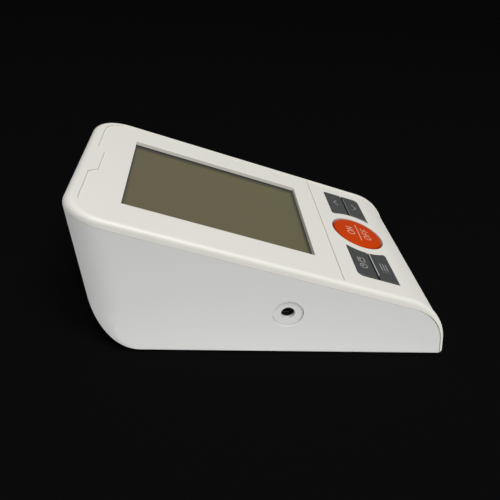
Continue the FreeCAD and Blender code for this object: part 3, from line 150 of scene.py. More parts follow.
def close_material(tree, shader, **inputs):
    """Adds the shader, with a space for each underscore in an input's name, and the output."""
    named = {name.replace("_", " "): value for name, value in inputs.items()}
    surface = add(tree, shader, named)
    add(tree, "ShaderNodeOutputMaterial", {"Surface": surface.outputs[0]})


def noise(tree, place, size_mm, detail=2.0):
    """Even noise whose lumps are about the given size."""
    return add(tree, "ShaderNodeTexNoise", {"Vector": place, "Scale": 1 / (size_mm * MM),
                                            "Detail": detail}).outputs["Fac"]


def bump(tree, height, rise_mm):
    """A normal from a height between 0 and 1."""
    return add(tree, "ShaderNodeBump", {"Height": height,
                                        "Distance": rise_mm * MM}).outputs["Normal"]


def blend_colours(tree, share, first, second):
    """First colour where the share is 0, second where it is 1; each a hex colour or a socket."""
    first, second = (linear(c) if isinstance(c, str) else c for c in (first, second))
    mix = add(tree, "ShaderNodeMix", {0: share, 6: first, 7: second}, data_type="RGBA")
    return mix.outputs[2]


def maths(tree, operation, first, second=0.0):
    """One sum, product or other operation on numbers or sockets."""
    return add(tree, "ShaderNodeMath", {0: first, 1: second}, operation=operation).outputs[0]


def above(tree, value, limit, soft):
    """0 below the limit and 1 above it, with a soft change as wide as soft."""
    ramp = add(tree, "ShaderNodeMapRange", {"Value": value, "From Min": limit - soft / 2,
                                            "From Max": limit + soft / 2})
    return ramp.outputs["Result"]


def below(tree, value, limit, soft):
    """1 below the limit and 0 above it."""
    return maths(tree, "SUBTRACT", 1.0, above(tree, value, limit, soft))


def part_of(tree, place, axis):
    """One coordinate of the place, in millimetres."""
    split = add(tree, "ShaderNodeSeparateXYZ", {0: place})
    return maths(tree, "DIVIDE", split.outputs[axis], MM)


def bands(tree, place, axis, pitch_mm):
    """Smooth stripes from 0 to 1 across one axis of the object."""
    turns = maths(tree, "MULTIPLY", part_of(tree, place, axis), 2 * math.pi / pitch_mm)
    wave = maths(tree, "SINE", turns)
    return add(tree, "ShaderNodeMapRange", {"Value": wave, "From Min": -1.0}).outputs["Result"]


def on_deck_plane(tree, place):
    """The place turned so that its z runs out of the deck."""
    return add(tree, "ShaderNodeMapping", {"Vector": place, "Rotation": (-SLOPE, 0.0, 0.0)},
               vector_type="POINT").outputs[0]


def off_axis(tree, place, node):
    """Distance in millimetres from the line along X through the middle of a CAD node."""
    low, high = (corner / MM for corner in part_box(node))
    middle = (low + high) / 2
    squares = [maths(tree, "POWER", maths(tree, "SUBTRACT", part_of(tree, place, side), at), 2.0)
               for side, at in (("Y", middle.y), ("Z", middle.z))]
    return maths(tree, "SQRT", maths(tree, "ADD", *squares))


print("tools for materials are ready")

# %% [markdown]
# ## Floor and light
# The monitor is lit as in a small light tent: one large lamp high on the camera's side, white tent
# walls above and beside it, darker ones in front and behind, and white paper under it. A pool of
# light is painted into the paper's colour for the light it throws back: bright close by, grey
# further off, so the left wall is brighter low down. The camera sees all this as black, so only the
# monitor itself stands out.

# %% Floor and light
FLOOR_HALF = 3.0                           # metres
# the paper's bright pool is a painted pool of light
POOL_EDGE, POOL_SOFT = 0.22, 0.36          # metres; how far the paper's bright pool reaches
END_WALLS, END_SOFT = 0.5, 0.6             # share of the way to the darker end walls
AMBIENT = 0.3
LAMP_PLACE, LAMP_SIZE, LAMP_WATTS = (-1.05, -0.3, 2.15), 1.6, 53.0
UNSEEN = "0b0b0c"                          # what the camera sees of the tent


def seen_as_dark(tree, colour):
    """The colour for light, and near black for the camera."""
    path = add(tree, "ShaderNodeLightPath")
    return blend_colours(tree, path.outputs["Is Camera Ray"], colour, UNSEEN)


floor_mesh = bpy.data.meshes.new("floor")
floor_mesh.from_pydata([(x * FLOOR_HALF, y * FLOOR_HALF, 0)
                        for x, y in ((-1, -1), (1, -1), (1, 1), (-1, 1))], [], [(0, 1, 2, 3)])
floor = bpy.data.objects.new("floor", floor_mesh)
bpy.context.scene.collection.objects.link(floor)
paper, tree, place = start_material("Backdrop paper, matt, painted pool of light")
away = add(tree, "ShaderNodeVectorMath", {0: place}, operation="LENGTH").outputs["Value"]
# painted pool of light: the paper's colour for light is bright near the monitor and grey further
# off
painted_light_pool = blend_colours(tree, above(tree, away, POOL_EDGE, POOL_SOFT), "f4f4f2", "8a8a8b")
close_material(tree, "ShaderNodeBsdfDiffuse", Color=seen_as_dark(tree, painted_light_pool))
floor_mesh.materials.append(paper)

bpy.context.scene.view_settings.view_transform = "Standard"
world = bpy.data.worlds.new("world")
bpy.context.scene.world = world
world.use_nodes = True
tree = world.node_tree
tree.nodes.clear()
looking = add(tree, "ShaderNodeTexCoord").outputs["Generated"]
to_ends = maths(tree, "ABSOLUTE", add(tree, "ShaderNodeSeparateXYZ", {0: looking}).outputs["Y"])
walls = blend_colours(tree, above(tree, to_ends, END_WALLS, END_SOFT), "ffffff", "868688")
sky = add(tree, "ShaderNodeBackground", {"Color": seen_as_dark(tree, walls), "Strength": AMBIENT})
add(tree, "ShaderNodeOutputWorld", {"Surface": sky.outputs[0]})

light = bpy.data.lights.new("tent_lamp", "AREA")
light.shape, light.size, light.energy = "DISK", LAMP_SIZE, LAMP_WATTS
lamp = bpy.data.objects.new("tent_lamp", light)
lamp.location = LAMP_PLACE
lamp.rotation_euler = (LOOK_AT - Vector(LAMP_PLACE)).to_track_quat("-Z", "Y").to_euler()
bpy.context.scene.collection.objects.link(lamp)
print("floor", 2 * FLOOR_HALF, "m across, one lamp")

# %% [markdown]
# ## Moulded plastics
# Nearly all that shows is ABS from a steel mould whose faces were spark-eroded. That leaves a fine
# even grain, so the plastic is satin: no sharp reflections, but a soft sheen at low angles. One
# function makes all moulded plastics. The grain is drawn as bump at 0.35 mm, because the real one,
# at 0.1 mm, would be lost between the pixels, and the colour drifts a little, as regrind does.

# %% Moulded plastics
GRAIN, GRAIN_RISE, DRIFT = 0.35, 0.006, 25           # millimetres
SATIN = 0.45                                         # roughness
CASE_WHITES, CHARCOALS = ("d7d7d6", "d4d4d3"), ("424443", "3d3f3e")


def close_moulded(tree, place, colour, roughness=SATIN, grain_mm=GRAIN, grain_rise=GRAIN_RISE,
                  **shader):
    """Ends a material as a moulded plastic of one colour."""
    shader = {"IOR": 1.54, **shader}
    close_material(tree, "ShaderNodeBsdfPrincipled", Roughness=roughness, Base_Color=colour,
                   Normal=bump(tree, noise(tree, place, grain_mm), grain_rise), **shader)


def moulded(name, first, second, drift_mm=DRIFT, **finish):
    """A moulded plastic from two close colours; its roughness and grain can be given."""
    material, tree, place = start_material(name)
    close_moulded(tree, place, blend_colours(tree, noise(tree, place, drift_mm), first, second),
                  **finish)
    return material


cover_abs = moulded("ABS, warm white, fine grain", "e6e4dc", "e3e1d8")
case_abs = moulded("ABS, cool white, fine grain", *CASE_WHITES)
key_abs = moulded("ABS, charcoal, fine grain", *CHARCOALS, roughness=0.5)
button_abs = moulded("ABS, orange, satin", "c63e02", "c03a02", roughness=0.5, grain_rise=0.003,
                     Specular_IOR_Level=0.05)
holder_abs = moulded("ABS, natural, glossy mould", "d8d5c6", "d2cfbf", roughness=0.35)
switch_nylon = moulded("Nylon, black, glass-filled", "1c1c1d", "202122", roughness=0.55,
                       grain_rise=0.01)
plunger_pom = moulded("Acetal, off-white", "d8d8d2", "d2d2cb", roughness=0.35, grain_rise=0.002)
manifold_pom = moulded("Acetal, natural white", "e2e1da", "dcdbd3", roughness=0.38,
                       grain_rise=0.003)
pump_pbt = moulded("PBT, black, pump head", "232425", "1e1f20", roughness=0.5)
sensor_pps = moulded("PPS, dark grey, sensor body", "3a3b3c", "343536")
buzzer_pbt = moulded("PBT, black, buzzer", "1d1e1f", "191a1b", roughness=0.4)
chip_epoxy = moulded("Epoxy, black, transfer-moulded", "1f1f21", "242426", roughness=0.6,
                     grain_mm=0.15)
print("twelve moulded plastics")

# %% [markdown]
# ## The front keys' painted edge highlight
# Two keys meet at a straight split. The front one is rounded over there, and that edge gets a
# painted highlight: one bright line painted into its colour, dimmer on the far pair, where less
# light falls. The finish finds it by the way the surface faces: partly to the rear and mostly up,
# short of the outer end.

# %% The front keys' edge
EDGE_REARWARD, EDGE_UP = (0.3, 0.2), (0.5, 0.2)     # limit and softness of each share
EDGE_END, EDGE_END_SOFT = 36.0, 1.0                 # millimetres from the middle


def front_key_painted_highlight(side, highlight_colour):
    """The keys' own plastic, with a painted highlight in the given colour on the edge at the split.
    """
    material, tree, place = start_material("ABS, charcoal, polished edge, " + side)
    facing = add(tree, "ShaderNodeTexCoord").outputs["Normal"]
    facing = add(tree, "ShaderNodeSeparateXYZ", {0: on_deck_plane(tree, facing)}).outputs
    rounded = maths(tree, "MULTIPLY", above(tree, facing["Y"], *EDGE_REARWARD),
                    above(tree, facing["Z"], *EDGE_UP))
    outward = maths(tree, "ABSOLUTE", part_of(tree, place, "X"))
    # painted highlight: the edge is lightened where light would catch it
    painted_highlight = maths(tree, "MULTIPLY", rounded, below(tree, outward, EDGE_END, EDGE_END_SOFT))
    body = blend_colours(tree, noise(tree, place, DRIFT), *CHARCOALS)
    close_moulded(tree, place, blend_colours(tree, painted_highlight, body, highlight_colour), roughness=0.5)
    return material


# painted highlight colours: light on the near pair, dim on the far pair, which catches less light
left_front_abs = front_key_painted_highlight("left", "c4c4c2")
right_front_abs = front_key_painted_highlight("right", "767674")
print("made", left_front_abs.name, "and", right_front_abs.name)

# %% [markdown]
# ## The hose socket
# The socket is moulded in the casing's own plastic, but its bore looks black, as it lies deep in
# shade: that shade is painted into the bore's colour, near black from 2 mm behind the face. The
# same solid therefore takes two finishes, switched by the distance from the bore's axis and by the
# depth behind the face.

# %% Hose socket
BORE_SHADE_RADIUS, BORE_SHADE_SOFT = 3.05, 0.1       # millimetres
BORE_SHADE_START = 2.0                          # behind the socket's face


def socket_finish():
    material, tree, place = start_material("ABS, cool white, with a black nitrile liner")
    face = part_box("air_socket")[0].x / MM
    near = below(tree, off_axis(tree, place, "socket_o_ring"), BORE_SHADE_RADIUS, BORE_SHADE_SOFT)
    deep = above(tree, part_of(tree, place, "X"), face + BORE_SHADE_START, BORE_SHADE_SOFT)
    # painted shade deep in the bore
    bore_shade = maths(tree, "MULTIPLY", near, deep)
    shell = blend_colours(tree, noise(tree, place, DRIFT), *CASE_WHITES)
    close_moulded(tree, place, blend_colours(tree, bore_shade, shell, "242423"))
    return material


socket_abs = socket_finish()
print("made", socket_abs.name)

# %% [markdown]
# ## Display
# A segment display that is off shows its rear polariser: a flat olive that turns browner towards
# the far end, where it is seen at a lower angle. Over it lies a clear acrylic lens with a hard
# coat. Since the lens is flat and thin it bends nothing that shows, so it is drawn as a mostly
# see-through sheet with a glossy face, which also keeps the render free of grain.

# %% Display
LENS_SHOWS = 0.1                           # how much of the lens's own face shows


def display_glass():
    material, tree, place = start_material("LCD glass with olive polariser")
    low, high = deck_extent("lcd_glass")
    up = part_of(tree, on_deck_plane(tree, place), "Y")
    along = add(tree, "ShaderNodeMapRange", {"Value": up, "From Min": low.y, "From Max": high.y})
    olive = blend_colours(tree, along.outputs[0], "645f26", "605224")
    film = blend_colours(tree, noise(tree, place, 14), olive, "60572a")
    close_material(tree, "ShaderNodeBsdfPrincipled", Base_Color=film, Roughness=0.42, IOR=1.5,
                   Normal=bump(tree, noise(tree, place, 0.2), 0.002))
    return material


def acrylic_lens():
    material, tree, place = start_material("Cast acrylic with a hard coat")
    close_material(tree, "ShaderNodeBsdfPrincipled", Alpha=LENS_SHOWS, IOR=1.49, Roughness=0.08,
                   Base_Color=blend_colours(tree, noise(tree, place, 20), "8a8c88", "868884"),
                   Normal=bump(tree, noise(tree, place, 30), 0.01))
    return material


lcd_olive, lens_acrylic = display_glass(), acrylic_lens()
print("made", lcd_olive.name, "and", lens_acrylic.name)

# %% [markdown]
# ## Metals
# Screws are nickel-plated, the motor's can is zinc-plated and brushed along its length, and the
# springs and plates behind the cells are nickel on spring steel. One function makes them from two
# close colours and fine lines along one axis, as drawing, turning or winding leaves them.

# %% Metals


def metal(name, first, second, roughness, axis="X", line_mm=0.5, line_rise=0.003):
    material, tree, place = start_material(name)
    lines = maths(tree, "ADD", bands(tree, place, axis, line_mm), noise(tree, place, 1.5))
    close_material(tree, "ShaderNodeBsdfPrincipled", Metallic=1.0, Roughness=roughness,
                   Base_Color=blend_colours(tree, noise(tree, place, 6), first, second),
                   Normal=bump(tree, lines, line_rise))
    return material


screw_steel = metal("Steel, nickel-plated, rolled thread", "b9b8b4", "aaa9a5", 0.3, "Z", 0.5, 0.04)
motor_steel = metal("Steel, zinc-plated, drawn", "b4b8bc", "a6abb0", 0.36)
valve_steel = metal("Steel strip, zinc-plated", "aab0b6", "a0a6ac", 0.4)
rotor_steel = metal("Silicon steel laminations", "7d7b77", "6e6c69", 0.45, "X", 0.5, 0.05)
contact_steel = metal("Spring steel, nickel-plated", "c4c2bc", "b8b6b0", 0.28, "Z", 0.3)
coil_copper = metal("Enamelled copper wire, wound", "b0602c", "a35524", 0.32, "Y", 0.22, 0.06)
print("six metals")

# %% [markdown]
# ## Rubber, foam, film and wire
# Soft parts scatter light evenly and collect dust, so they are rougher and their colour is more
# mottled than the plastics'. Silicone tube lets some light through.

# %% Rubber, foam, film and wire


def rubber(name, first, second, roughness=0.75, **shader):
    return moulded(name, first, second, roughness=roughness, grain_mm=0.5, grain_rise=0.012,
                   drift_mm=4, IOR=1.5, **shader)


def foam():
    """Closed cells about half a millimetre wide."""
    material, tree, place = start_material("Polyurethane foam, dark grey")
    cells = add(tree, "ShaderNodeTexVoronoi", {"Vector": place, "Scale": 1 / (0.5 * MM)})
    close_material(tree, "ShaderNodeBsdfPrincipled", Roughness=0.95,
                   Base_Color=blend_colours(tree, cells.outputs["Distance"], "4a4942", "57564e"),
                   Normal=bump(tree, cells.outputs["Distance"], 0.1))
    return material


def label_film():
    """White polyester film with a faint orange peel."""
    material, tree, place = start_material("Polyester label film, matt white")
    close_material(tree, "ShaderNodeBsdfPrincipled", Roughness=0.6, IOR=1.57,
                   Base_Color=blend_colours(tree, noise(tree, place, 12), "f0f0ee", "ecece9"),
                   Normal=bump(tree, noise(tree, place, 1.2), 0.004))
    return material


def wire_pair(node, axis):
    """Red insulation on the first wire of a node, and black on the one further along the axis."""
    low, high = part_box(node)
    middle = ((low + high) / 2)["XYZ".index(axis)] / MM
    material, tree, place = start_material("PVC wire, red and black, " + node)
    second = above(tree, part_of(tree, place, axis), middle, 0.1)
    red = blend_colours(tree, noise(tree, place, 5), "b0201a", "a51c17")
    close_material(tree, "ShaderNodeBsdfPrincipled", Roughness=0.4, IOR=1.53,
                   Base_Color=blend_colours(tree, second, red, "1b1b1c"),
                   Normal=bump(tree, noise(tree, place, 0.8), 0.02))
    return material


def zebra():
    """Elastomer that joins glass to board: thin black layers in white silicone."""
    material, tree, place = start_material("Layered silicone, conductive")
    layers = bands(tree, place, "X", 0.36)
    close_material(tree, "ShaderNodeBsdfPrincipled", Roughness=0.7,
                   Base_Color=blend_colours(tree, layers, "d9cfc9", "232324"),
                   Normal=bump(tree, noise(tree, place, 0.6), 0.01))
    return material


foot_rubber = rubber("Rubber foot, dark grey", "3c3d3e", "46474a")
seal_rubber = rubber("Nitrile, black", "171717", "1e1e1f", roughness=0.5)
sleeve_rubber = rubber("EPDM sleeve, black", "202021", "28282a", roughness=0.85)
silicone_tube = rubber("Silicone tube, translucent", "d9dad6", "cfd1cc", roughness=0.4,
                       Subsurface_Weight=0.5, Subsurface_Scale=2 * MM)
gasket_foam, zebra_rubber, white_film = foam(), zebra(), label_film()
print("rubber, foam, film and wire are ready")

# %% [markdown]
# ## Board, capacitors and cells
# The board is green solder mask over copper: tracks show as slightly lighter lines on a 2.5 mm
# pitch. Each capacitor has a dark sleeve, a grey stripe at its negative side and a bare aluminium
# top. Each cell is a steel can in a printed jacket, whose band marks the end with the nub.

# %% Board, capacitors and cells
TRACK_PITCH, TRACK_WIDTH = 2.5, 0.08       # millimetres; the width is a share of the pitch
CELL_BAND, CELL_RIM = 12.0, 1.0            # jacket's band, and the bare steel at each end
STRIPE = 1.6                               # from a capacitor's axis to its stripe
TOP_DEPTH, TOP_SOFT = 0.3, 0.05            # the bare end of a capacitor's can
PRINT_SOFT = 0.1                           # how softly a printed colour ends


def laminate():
    material, tree, place = start_material("FR-4 laminate, green solder mask")
    flat = on_deck_plane(tree, place)
    tracks = add(tree, "ShaderNodeTexBrick", {
        "Vector": flat, "Scale": 1 / (TRACK_PITCH * MM), "Mortar Size": TRACK_WIDTH,
        "Mortar Smooth": 0.2, "Brick Width": 4.0, "Row Height": 1.0}, offset=0.37)
    green = blend_colours(tree, noise(tree, place, 9), "14502f", "17573a")
    close_material(tree, "ShaderNodeBsdfPrincipled", Roughness=0.3, IOR=1.55,
                   Base_Color=blend_colours(tree, tracks.outputs["Fac"], green, "2a7a4c"),
                   Normal=bump(tree, tracks.outputs["Fac"], 0.03))
    return material


def capacitor_can():
    material, tree, place = start_material("Aluminium can in a PVC sleeve")
    low, high = deck_extent("capacitors")
    radius = (high.y - low.y) / 2
    step = (high.x - low.x - 2 * radius) / 2
    from_first = maths(tree, "SUBTRACT", part_of(tree, place, "X"), low.x + radius)
    nearest = maths(tree, "ROUND", maths(tree, "DIVIDE", from_first, step))
    to_side = maths(tree, "SUBTRACT", from_first, maths(tree, "MULTIPLY", nearest, step))
    stripe = above(tree, to_side, STRIPE, PRINT_SOFT)
    out = part_of(tree, on_deck_plane(tree, place), "Z")
    bare = below(tree, out, low.z + TOP_DEPTH, TOP_SOFT)
    sleeve = blend_colours(tree, stripe, "23262e", "a9adb2")
    close_material(tree, "ShaderNodeBsdfPrincipled", Metallic=bare,
                   Base_Color=blend_colours(tree, bare, sleeve, "b9bcc0"),
                   Roughness=maths(tree, "ADD", 0.3, maths(tree, "MULTIPLY", 0.1,
                                                           noise(tree, place, 2))),
                   Normal=bump(tree, noise(tree, place, 1.0), 0.01))
    return material


def cell_jacket(node, nub_side):
    """A cell's jacket; nub_side is 1 where the nub points to +X and -1 where it points to -X."""
    material, tree, place = start_material("Alkaline cell, printed jacket, " + node)
    low, high = (corner.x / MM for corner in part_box(node))
    nub_end, flat_end = (high, low) if nub_side > 0 else (low, high)
    from_nub = maths(tree, "ABSOLUTE", maths(tree, "SUBTRACT", part_of(tree, place, "X"), nub_end))
    length = abs(nub_end - flat_end)
    band = below(tree, from_nub, CELL_BAND, PRINT_SOFT)
    ends = maths(tree, "ADD", below(tree, from_nub, 2 * CELL_RIM, PRINT_SOFT),
                 above(tree, from_nub, length - CELL_RIM, PRINT_SOFT))
    jacket = blend_colours(tree, band, "26282c", "b5722a")
    close_material(tree, "ShaderNodeBsdfPrincipled", Metallic=ends,
                   Base_Color=blend_colours(tree, ends, jacket, "bdbdba"),
                   Roughness=maths(tree, "ADD", 0.25, maths(tree, "MULTIPLY", 0.1,
                                                            noise(tree, place, 3))),
                   Normal=bump(tree, noise(tree, place, 2.0), 0.01))
    return material


board_laminate, capacitor = laminate(), capacitor_can()
print("board, capacitors and cells are ready")

# %% [markdown]
# ## The power jack
# The jack is black plastic around a plated pin. Both are one solid, so the finish turns to metal
# close to the axis.

# %% Power jack
PIN_RADIUS, PIN_SOFT = 1.1, 0.05           # millimetres, a little over the real pin's


def jack_finish():
    material, tree, place = start_material("Black nylon around a nickel-plated pin")
    pin = below(tree, off_axis(tree, place, "dc_jack"), PIN_RADIUS, PIN_SOFT)
    nylon = blend_colours(tree, noise(tree, place, 8), "1c1c1d", "212223")
    close_material(tree, "ShaderNodeBsdfPrincipled", Roughness=0.42, Metallic=pin,
                   Base_Color=blend_colours(tree, pin, nylon, "c0beb8"),
                   Normal=bump(tree, noise(tree, place, 0.4), 0.006))
    return material


jack_nylon = jack_finish()
print("made", jack_nylon.name)

# %% [markdown]
# ## Every solid gets its finish
# One table says which finish each solid takes. A row that ends in an underscore stands for every
# solid whose name starts with it.

# %% Give the solids their finishes
FINISHES = {
    "upper_cover": cover_abs, "display_panel": cover_abs,
    "lower_case": case_abs, "battery_door": case_abs, "air_socket": socket_abs,
    "power_button": button_abs, "key_": key_abs, "switch_": switch_nylon, "plunger_": plunger_pom,
    "key_left_front": left_front_abs, "key_right_front": right_front_abs,
    "rubber_feet": foot_rubber, "rating_label": white_film, "case_screws": screw_steel,
    "board_screws": screw_steel, "display_lens": lens_acrylic, "lens_gasket": gasket_foam,
    "lcd_glass": lcd_olive, "lcd_holder": holder_abs, "lcd_contact_strips": zebra_rubber,
    "main_board": board_laminate, "microcontroller": chip_epoxy, "pressure_sensor": sensor_pps,
    "buzzer": buzzer_pbt, "capacitors": capacitor, "socket_o_ring": seal_rubber,
    "air_manifold": manifold_pom, "tube_to_": silicone_tube, "valve_frame": valve_steel,
    "valve_coil": coil_copper, "valve_plunger": valve_steel, "pump_motor": motor_steel,
    "pump_rotor": rotor_steel, "pump_head": pump_pbt, "pump_sleeve": sleeve_rubber,
    "contact_springs": contact_steel, "contact_plates": contact_steel, "dc_jack": jack_nylon,
    "battery_leads": wire_pair("battery_leads", "Y"), "pump_leads": wire_pair("pump_leads", "Y"),
    "jack_leads": wire_pair("jack_leads", "Y"),
}
CELLS = sorted(name for name in nodes if name.startswith("battery_cell_"))
FINISHES.update({name: cell_jacket(name, 1 if i % 2 == 0 else -1) for i, name in enumerate(CELLS)})


def finish_of(name):
    """The finish of a solid by its own name, or else by the start of its name."""
    return FINISHES.get(name) or next(finish for start, finish in FINISHES.items()
                                      if start.endswith("_") and name.startswith(start))


for name, solid in nodes.items():
    for slot in solid.material_slots:
        slot.material = finish_of(name)
print("gave", len(nodes), "solids their finishes")

# %% [markdown]
# ## A tree that draws strokes
# Prints are thin strokes of ink. Each is drawn flat as a line, and Geometry Nodes sweeps a flat
# bar along all lines of a print. The result is a plain mesh that is then laid on the solid it is
# printed on, so the ink follows the button's dome.

# %% Stroke tree
INK_THICK, INK_STEP = 0.03, 0.4            # millimetres


def start_tree(name, inputs):
    """A Geometry Nodes tree with a geometry input and named inputs, and its input node."""
    tree = bpy.data.node_groups.new(name, "GeometryNodeTree")
    tree.interface.new_socket("Geometry", in_out="OUTPUT", socket_type="NodeSocketGeometry")
    tree.interface.new_socket("Geometry", in_out="INPUT", socket_type="NodeSocketGeometry")
    for label, kind in inputs.items():
        tree.interface.new_socket(label, in_out="INPUT", socket_type="NodeSocket" + kind)
    return tree, add(tree, "NodeGroupInput").outputs


def close_tree(tree, geometry, material):
    """Ends a tree with real geometry in one material."""
    real = add(tree, "GeometryNodeRealizeInstances", {0: geometry})
    named = add(tree, "GeometryNodeSetMaterial", {"Geometry": real.outputs[0],
                                                  "Material": material})
    add(tree, "NodeGroupOutput", {0: named.outputs[0]})


def grow(name, mesh, tree, values):
    """Runs a tree on a mesh and keeps what it makes as a plain mesh object."""
    made = bpy.data.objects.new(name, mesh)
    bpy.context.scene.collection.objects.link(made)
    modifier = made.modifiers.new(name, "NODES")
    modifier.node_group = tree
    for item in tree.interface.items_tree:
        if item.in_out == "INPUT" and item.name in values:
            modifier[item.identifier] = values[item.name]
    result = made.evaluated_get(bpy.context.evaluated_depsgraph_get())
    plain = bpy.data.meshes.new_from_object(result)
    made.modifiers.clear()
    made.data = plain
    plain.name = name
    return made


def stroke_tree(ink):
    tree, given = start_tree("Ink strokes, " + ink.name, {"Width": "Float", "Thickness": "Float",
                                                         "Step": "Float"})
    lines = add(tree, "GeometryNodeMeshToCurve", {0: given["Geometry"]})
    fine = add(tree, "GeometryNodeResampleCurve", {"Curve": lines.outputs[0],
                                                   "Length": given["Step"]}, mode="LENGTH")
    level = add(tree, "GeometryNodeSetCurveNormal", {0: fine.outputs[0]}, mode="Z_UP")
    bar = add(tree, "GeometryNodeCurvePrimitiveQuadrilateral", {0: given["Width"],
                                                               1: given["Thickness"]})
    swept = add(tree, "GeometryNodeCurveToMesh", {"Curve": level.outputs[0],
                                                  "Profile Curve": bar.outputs[0],
                                                  "Fill Caps": True})
    close_tree(tree, swept.outputs[0], ink)
    return tree


def stroke_mesh(name, strokes):
    """Lines of a print as loose edges, from lists of (x, y) in millimetres."""
    points, edges = [], []
    for stroke in strokes:
        first = len(points)
        points += [(x * MM, y * MM, 0) for x, y in stroke]
        edges += [(i, i + 1) for i in range(first, len(points) - 1)]
    mesh = bpy.data.meshes.new(name)
    mesh.from_pydata(points, edges, [])
    return mesh


def line(x1, y1, x2, y2):
    return [(x1, y1), (x2, y2)]


def oval(x, y, half_width, half_height, corners=40):
    """A closed oval as a line that ends where it starts."""
    turns = [2 * math.pi * i / corners for i in range(corners + 1)]
    return [(x + half_width * math.cos(t), y + half_height * math.sin(t)) for t in turns]


def lay_on(made, node, across, up):
    """Lays a flat print on a solid, with its middle at a place on the deck."""
    solid = nodes[node].data
    surface = BVHTree.FromPolygons([v.co for v in solid.vertices],
                                   [face.vertices for face in solid.polygons])
    top = deck_extent(node)[1].z + 1
    for vertex in made.data.vertices:
        x, y, rise = vertex.co / MM
        under = surface.ray_cast(deck(across + x, up + y, top), -OUT)[0]
        vertex.co = under + OUT * (rise + INK_THICK / 2) * MM


def printed(name, node, body, tree, strokes, across, up, width):
    """A print on a solid that moves with one body."""
    made = grow(name, stroke_mesh(name, strokes), tree,
                {"Width": width * MM, "Thickness": INK_THICK * MM, "Step": INK_STEP * MM})
    lay_on(made, node, across, up)
    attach(made, body)
    print(name, len(made.data.polygons), "faces")
    return made


print("the stroke tree is ready")

# %% [markdown]
# ## Prints on the buttons
# The round button carries the plain words ON and OFF, one on each side of a bar, pad-printed in
# pale ink. The four keys carry plain pictograms in grey: a clock and a calendar, a list, and two
# arrows. Pad printing leaves the ink slightly uneven, so its colour is mottled.

# %% Button prints
LETTER_HALF = 1.8                          # half the height of the letters
LETTER_RISE = 4.2                          # from the bar to the middle of a word
O_HALF, N_HALF = 1.45, 1.2                 # half the width of each letter
F_LEFT, F_RIGHT = 0.9, 1.2                 # an F's reach to each side
BAR_HALF = 7.3
WORD_WIDTH, PICTOGRAM_WIDTH = 0.6, 0.5     # of the strokes


def letter_o(x, y):
    return [oval(x, y, O_HALF, LETTER_HALF)]


def letter_n(x, y):
    left, right, low, high = x - N_HALF, x + N_HALF, y - LETTER_HALF, y + LETTER_HALF
    return [line(left, low, left, high), line(left, high, right, low),
            line(right, low, right, high)]


def letter_f(x, y):
    left, right, low, high = x - F_LEFT, x + F_RIGHT, y - LETTER_HALF, y + LETTER_HALF
    return [line(left, low, left, high), line(left, high, right, high),
            line(left, y, x + F_LEFT, y)]


def clock_and_calendar():
    page = [line(1.0, -1.6, 4.0, -1.6), line(4.0, -1.6, 4.0, 1.6), line(4.0, 1.6, 1.0, 1.6),
            line(1.0, 1.6, 1.0, -1.6), line(1.0, 0.6, 4.0, 0.6)]
    return page + [oval(-2.2, 0, 1.7, 1.7), line(-2.2, 0, -2.2, 1.1), line(-2.2, 0, -1.3, 0)]


def list_of_lines():
    rows = (1.4, 0.0, -1.4)
    return [line(-2.0, y, 3.4, y) for y in rows] + [line(-3.4, y, -3.0, y) for y in rows]


def arrow(way):
    return [line(-2.6, -0.9 * way, 0, 1.1 * way), line(0, 1.1 * way, 2.6, -0.9 * way)]


pale_ink = moulded("Pad-printing ink, pale", "eaa98f", "e39e84", roughness=0.5, grain_rise=0.002)
grey_ink = moulded("Pad-printing ink, grey", "a3a4a2", "979896", roughness=0.5, grain_rise=0.002)
pale_strokes, grey_strokes = stroke_tree(pale_ink), stroke_tree(grey_ink)

button = deck_middle("power_button")
words = [line(-BAR_HALF, 0, BAR_HALF, 0)]
words += letter_o(-1.9, LETTER_RISE) + letter_n(1.9, LETTER_RISE)
words += letter_o(-3.4, -LETTER_RISE) + letter_f(0.3, -LETTER_RISE) + letter_f(3.6, -LETTER_RISE)
printed("power_print", "power_button", "power_button", pale_strokes, words,
                button.x, button.y, WORD_WIDTH)

KEY_PRINTS = {"left_rear": clock_and_calendar(), "left_front": list_of_lines(),
              "right_rear": arrow(1), "right_front": arrow(-1)}
for place_name, strokes in KEY_PRINTS.items():
    switch = deck_middle("switch_" + place_name)
    printed("key_print_" + place_name, "key_" + place_name, "key_" + place_name,
                    grey_strokes, strokes, switch.x, switch.y, PICTOGRAM_WIDTH)

# %% [markdown]
# ## The lens's dark frame
# A dark grey band lies on the lens's underside around its edge. Only a narrow strip of it reaches
# into the window, where it draws a dark line around the display.
# The tree sweeps a bar around a rectangle. Its corners are mitred, so the bar is wider by the root
# of two.

# %% Lens frame
LENS_BORDER = 2.2                          # lens beyond the window on each side
MASK_SHOWS = 0.5                           # how far the print reaches into the window
MASK_CLEAR = 0.01                          # keeps the two faces apart


def frame_tree(ink):
    tree, given = start_tree("Dark band around the lens", {"Length": "Float", "Breadth": "Float",
                                               "Width": "Float", "Thickness": "Float"})
    around = add(tree, "GeometryNodeCurvePrimitiveQuadrilateral", {0: given["Length"],
                                                                  1: given["Breadth"]})
    mitred = maths(tree, "MULTIPLY", given["Width"], math.sqrt(2))
    bar = add(tree, "GeometryNodeCurvePrimitiveQuadrilateral", {0: mitred, 1: given["Thickness"]})
    level = add(tree, "GeometryNodeSetCurveNormal", {0: around.outputs[0]}, mode="Z_UP")
    swept = add(tree, "GeometryNodeCurveToMesh", {"Curve": level.outputs[0],
                                                  "Profile Curve": bar.outputs[0]})
    close_tree(tree, swept.outputs[0], ink)
    return tree


def place_on_deck(made, across, up, out):
    """Moves a piece that was made flat to a place on the deck."""
    for vertex in made.data.vertices:
        x, y, z = vertex.co / MM
        vertex.co = deck(across + x, up + y, out + z)


